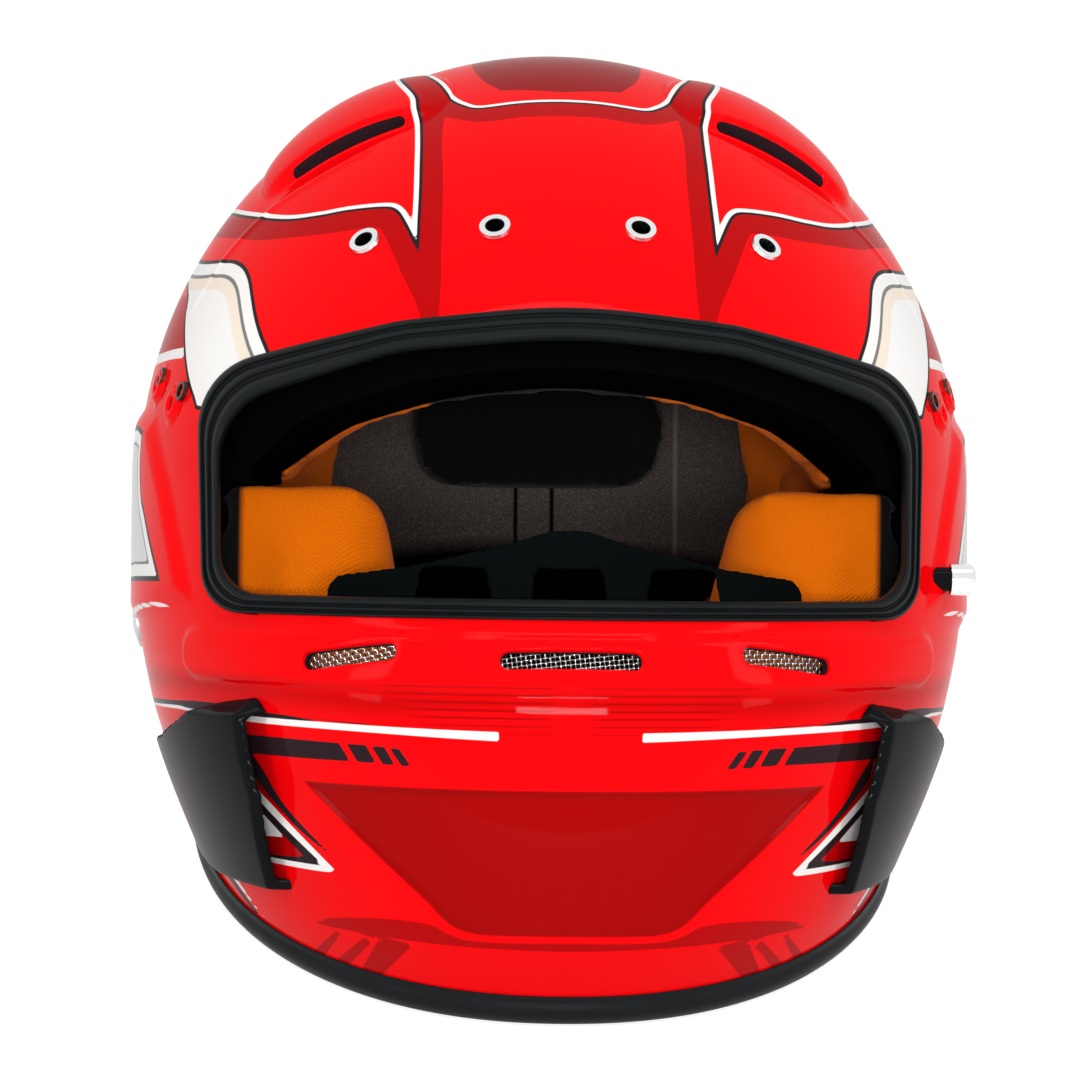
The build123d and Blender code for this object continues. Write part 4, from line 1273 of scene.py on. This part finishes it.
class HELMET_OT_straps(bpy.types.Operator):
    """Lay the two chin straps"""

    bl_idname = "helmet.straps"
    bl_label = "Chin straps"

    def execute(self, context):
        material = webbing_weave((0.014, 0.014, 0.015))
        bolt = Seat(skin(90.0, 105.0), (0, 1, 0))
        level, fold = 46.0, 4.5
        inward, loop_drop, leave_drop = 8.5, 13.4, 16.4
        top, leave = (bolt.origin - bolt.v * drop - bolt.w * inward for drop in (loop_drop, leave_drop))
        route = [(leave[0], leave[2]), (106.8, 73.0), (98.0, 51.0), (78.0, level), (60.0, level)]
        tail = [(20.0, level), (14.6, level + 0.7), (13.2, level + 2.3), (14.6, level + 3.9),
                (20.0, level + fold), (40.0, level + fold), (62.0, level + fold)]
        plate_loop = webbing(loop_of(top, bolt.v, bolt.w, 3.4, 2.6), closed=True)
        right, _, up = np.eye(3)
        sleeve = webbing(loop_of(np.array([30.1, 0.0, level]), right, up, 5.1, 2.8), closed=True)
        for side, sign, body, ends, loops in (
            ("left", 1.0, "ring_strap", [(36.0, level)], [plate_loop, sleeve]),
            ("right", -1.0, "tail_strap", tail, [plate_loop]),
        ):
            line = flowing(route + ends)
            path = np.stack([line[:, 0], 0 * line[:, 0], line[:, 1]], axis=-1)
            points, faces, _ = joined([webbing(path)] + loops)
            points = points * np.array([sign, 1.0, 1.0])
            solid_of("strap_webbing_" + side, "chin_strap_" + side, points, faces, material,
                     body)
        return {"FINISHED"}


class HELMET_OT_stage(bpy.types.Operator):
    """Set the floor, lamps, world and camera"""

    bl_idname = "helmet.stage"
    bl_label = "Studio"

    def execute(self, context):
        scene = context.scene
        look = scene.helmet_studio
        scene.view_settings.view_transform = "Standard"
        self.floor()
        self.sky(look)
        for name, place, width, height, power_w in (
            ("lamp_left", (-1.0, -0.6, 0.7), 0.25, 1.1, 4.4),
            ("lamp_right", (1.0, -0.6, 0.7), 0.25, 1.1, 4.4),
            ("lamp_top", (0.0, -0.3, 1.4), 0.9, 0.25, 3.8),
            ("lamp_front", (0.0, -1.5, 0.42), 0.6, 0.14, 10.6),
        ):
            lamp = bpy.data.lights.new(name, "AREA")
            lamp.shape, lamp.size, lamp.size_y = "RECTANGLE", width, height
            lamp.energy = power_w * look.light
            made = self.placed(name, lamp)
            made.location = place
            aim = Vector((0, 0, 0.13)) - Vector(place)
            made.rotation_euler = aim.to_track_quat("-Z", "Y").to_euler()
        shot = bpy.data.cameras.new("studio_camera")
        shot.sensor_width, shot.lens, shot.shift_x = 36.0, look.lens, -0.00694
        shot.clip_start, shot.clip_end = 0.05, 50.0
        scene.camera = self.placed("studio_camera", shot)
        scene.camera.matrix_world = self.view(look)
        return {"FINISHED"}

    def placed(self, name, data):
        made = bpy.data.objects.new(name, data)
        bpy.context.scene.collection.objects.link(made)
        return made

    def floor(self):
        """A pale floor that the camera sees as white, with the helmet's shadow."""
        mesh = bpy.data.meshes.new("studio_floor")
        mesh.from_pydata([(-9, -9, 0), (9, -9, 0), (9, 9, 0), (-9, 9, 0)], [], [(0, 1, 2, 3)])
        f = Finish("studio_floor", base_color=(0.6, 0.6, 0.6), roughness=0.9, specular_ior_level=0.0,
                   emission_strength=1.0)
        f.set("Emission Color", f.mix(f.seen() * 0.76, (0.0, 0.0, 0.0), (1.0, 1.0, 1.0)))
        mesh.materials.append(f.material)
        self.placed("studio_floor", mesh)

    def sky(self, look):
        """White where it is seen or mirrored, and dimmer as light from all round."""
        world = bpy.data.worlds.new("studio_world")
        bpy.context.scene.world = world
        world.use_nodes = True
        sky = Nodes(world.node_tree)
        back = sky.tree.nodes["Background"].inputs
        sky.feed(back["Color"], (1.0, 1.0, 1.0))
        sky.feed(back["Strength"], sky.seen() * (1.0 - look.ambient) + look.ambient)

    def view(self, look):
        """The camera's matrix: level as worn, turned round the helmet and rolled."""
        eye_level = 132.0
        sine, cosine = math.sin(look.turn), math.cos(look.turn)
        ahead, right = TIP @ [-sine, cosine, 0.0], TIP @ [cosine, sine, 0.0]
        up = TIP[:, 2]
        turned = math.cos(look.roll) * right + math.sin(look.roll) * up
        above = math.cos(look.roll) * up - math.sin(look.roll) * right
        far = look.distance * 1000.0
        at = rest([far * sine, -far * cosine, eye_level])
        return Matrix([*np.stack([turned, above, -ahead, at], axis=-1).tolist(), (0, 0, 0, 1)])


class HELMET_PT_panel(bpy.types.Panel):
    """Lists the steps that build the helmet"""

    bl_idname = "HELMET_PT_panel"
    bl_label = "Helmet"
    bl_space_type = "VIEW_3D"
    bl_region_type = "UI"
    bl_category = "Helmet"

    def draw(self, context):
        for group in (context.scene.helmet_paint, context.scene.helmet_fabric, context.scene.helmet_studio):
            box = self.layout.box()
            for name in group.__annotations__:
                box.prop(group, name)
        for step in STEPS:
            self.layout.operator(step.bl_idname)


STEPS = (
    HELMET_OT_stage, HELMET_OT_shell, HELMET_OT_gasket, HELMET_OT_trim, HELMET_OT_foam, HELMET_OT_vent_mesh,
    HELMET_OT_lining, HELMET_OT_straps,
)
GROUPS = {"helmet_paint": HelmetPaint, "helmet_fabric": HelmetFabric, "helmet_studio": HelmetStudio}


def register():
    for kind in tuple(GROUPS.values()) + STEPS + (HELMET_PT_panel,):
        bpy.utils.register_class(kind)
    for name, kind in GROUPS.items():
        setattr(bpy.types.Scene, name, bpy.props.PointerProperty(type=kind))


def unregister():
    for name in GROUPS:
        delattr(bpy.types.Scene, name)
    for kind in (HELMET_PT_panel,) + STEPS + tuple(GROUPS.values()):
        bpy.utils.unregister_class(kind)


def main():
    register()
    for step in STEPS:
        area, name = step.bl_idname.split(".")
        getattr(getattr(bpy.ops, area), name)()


if __name__ == "__main__":
    main()
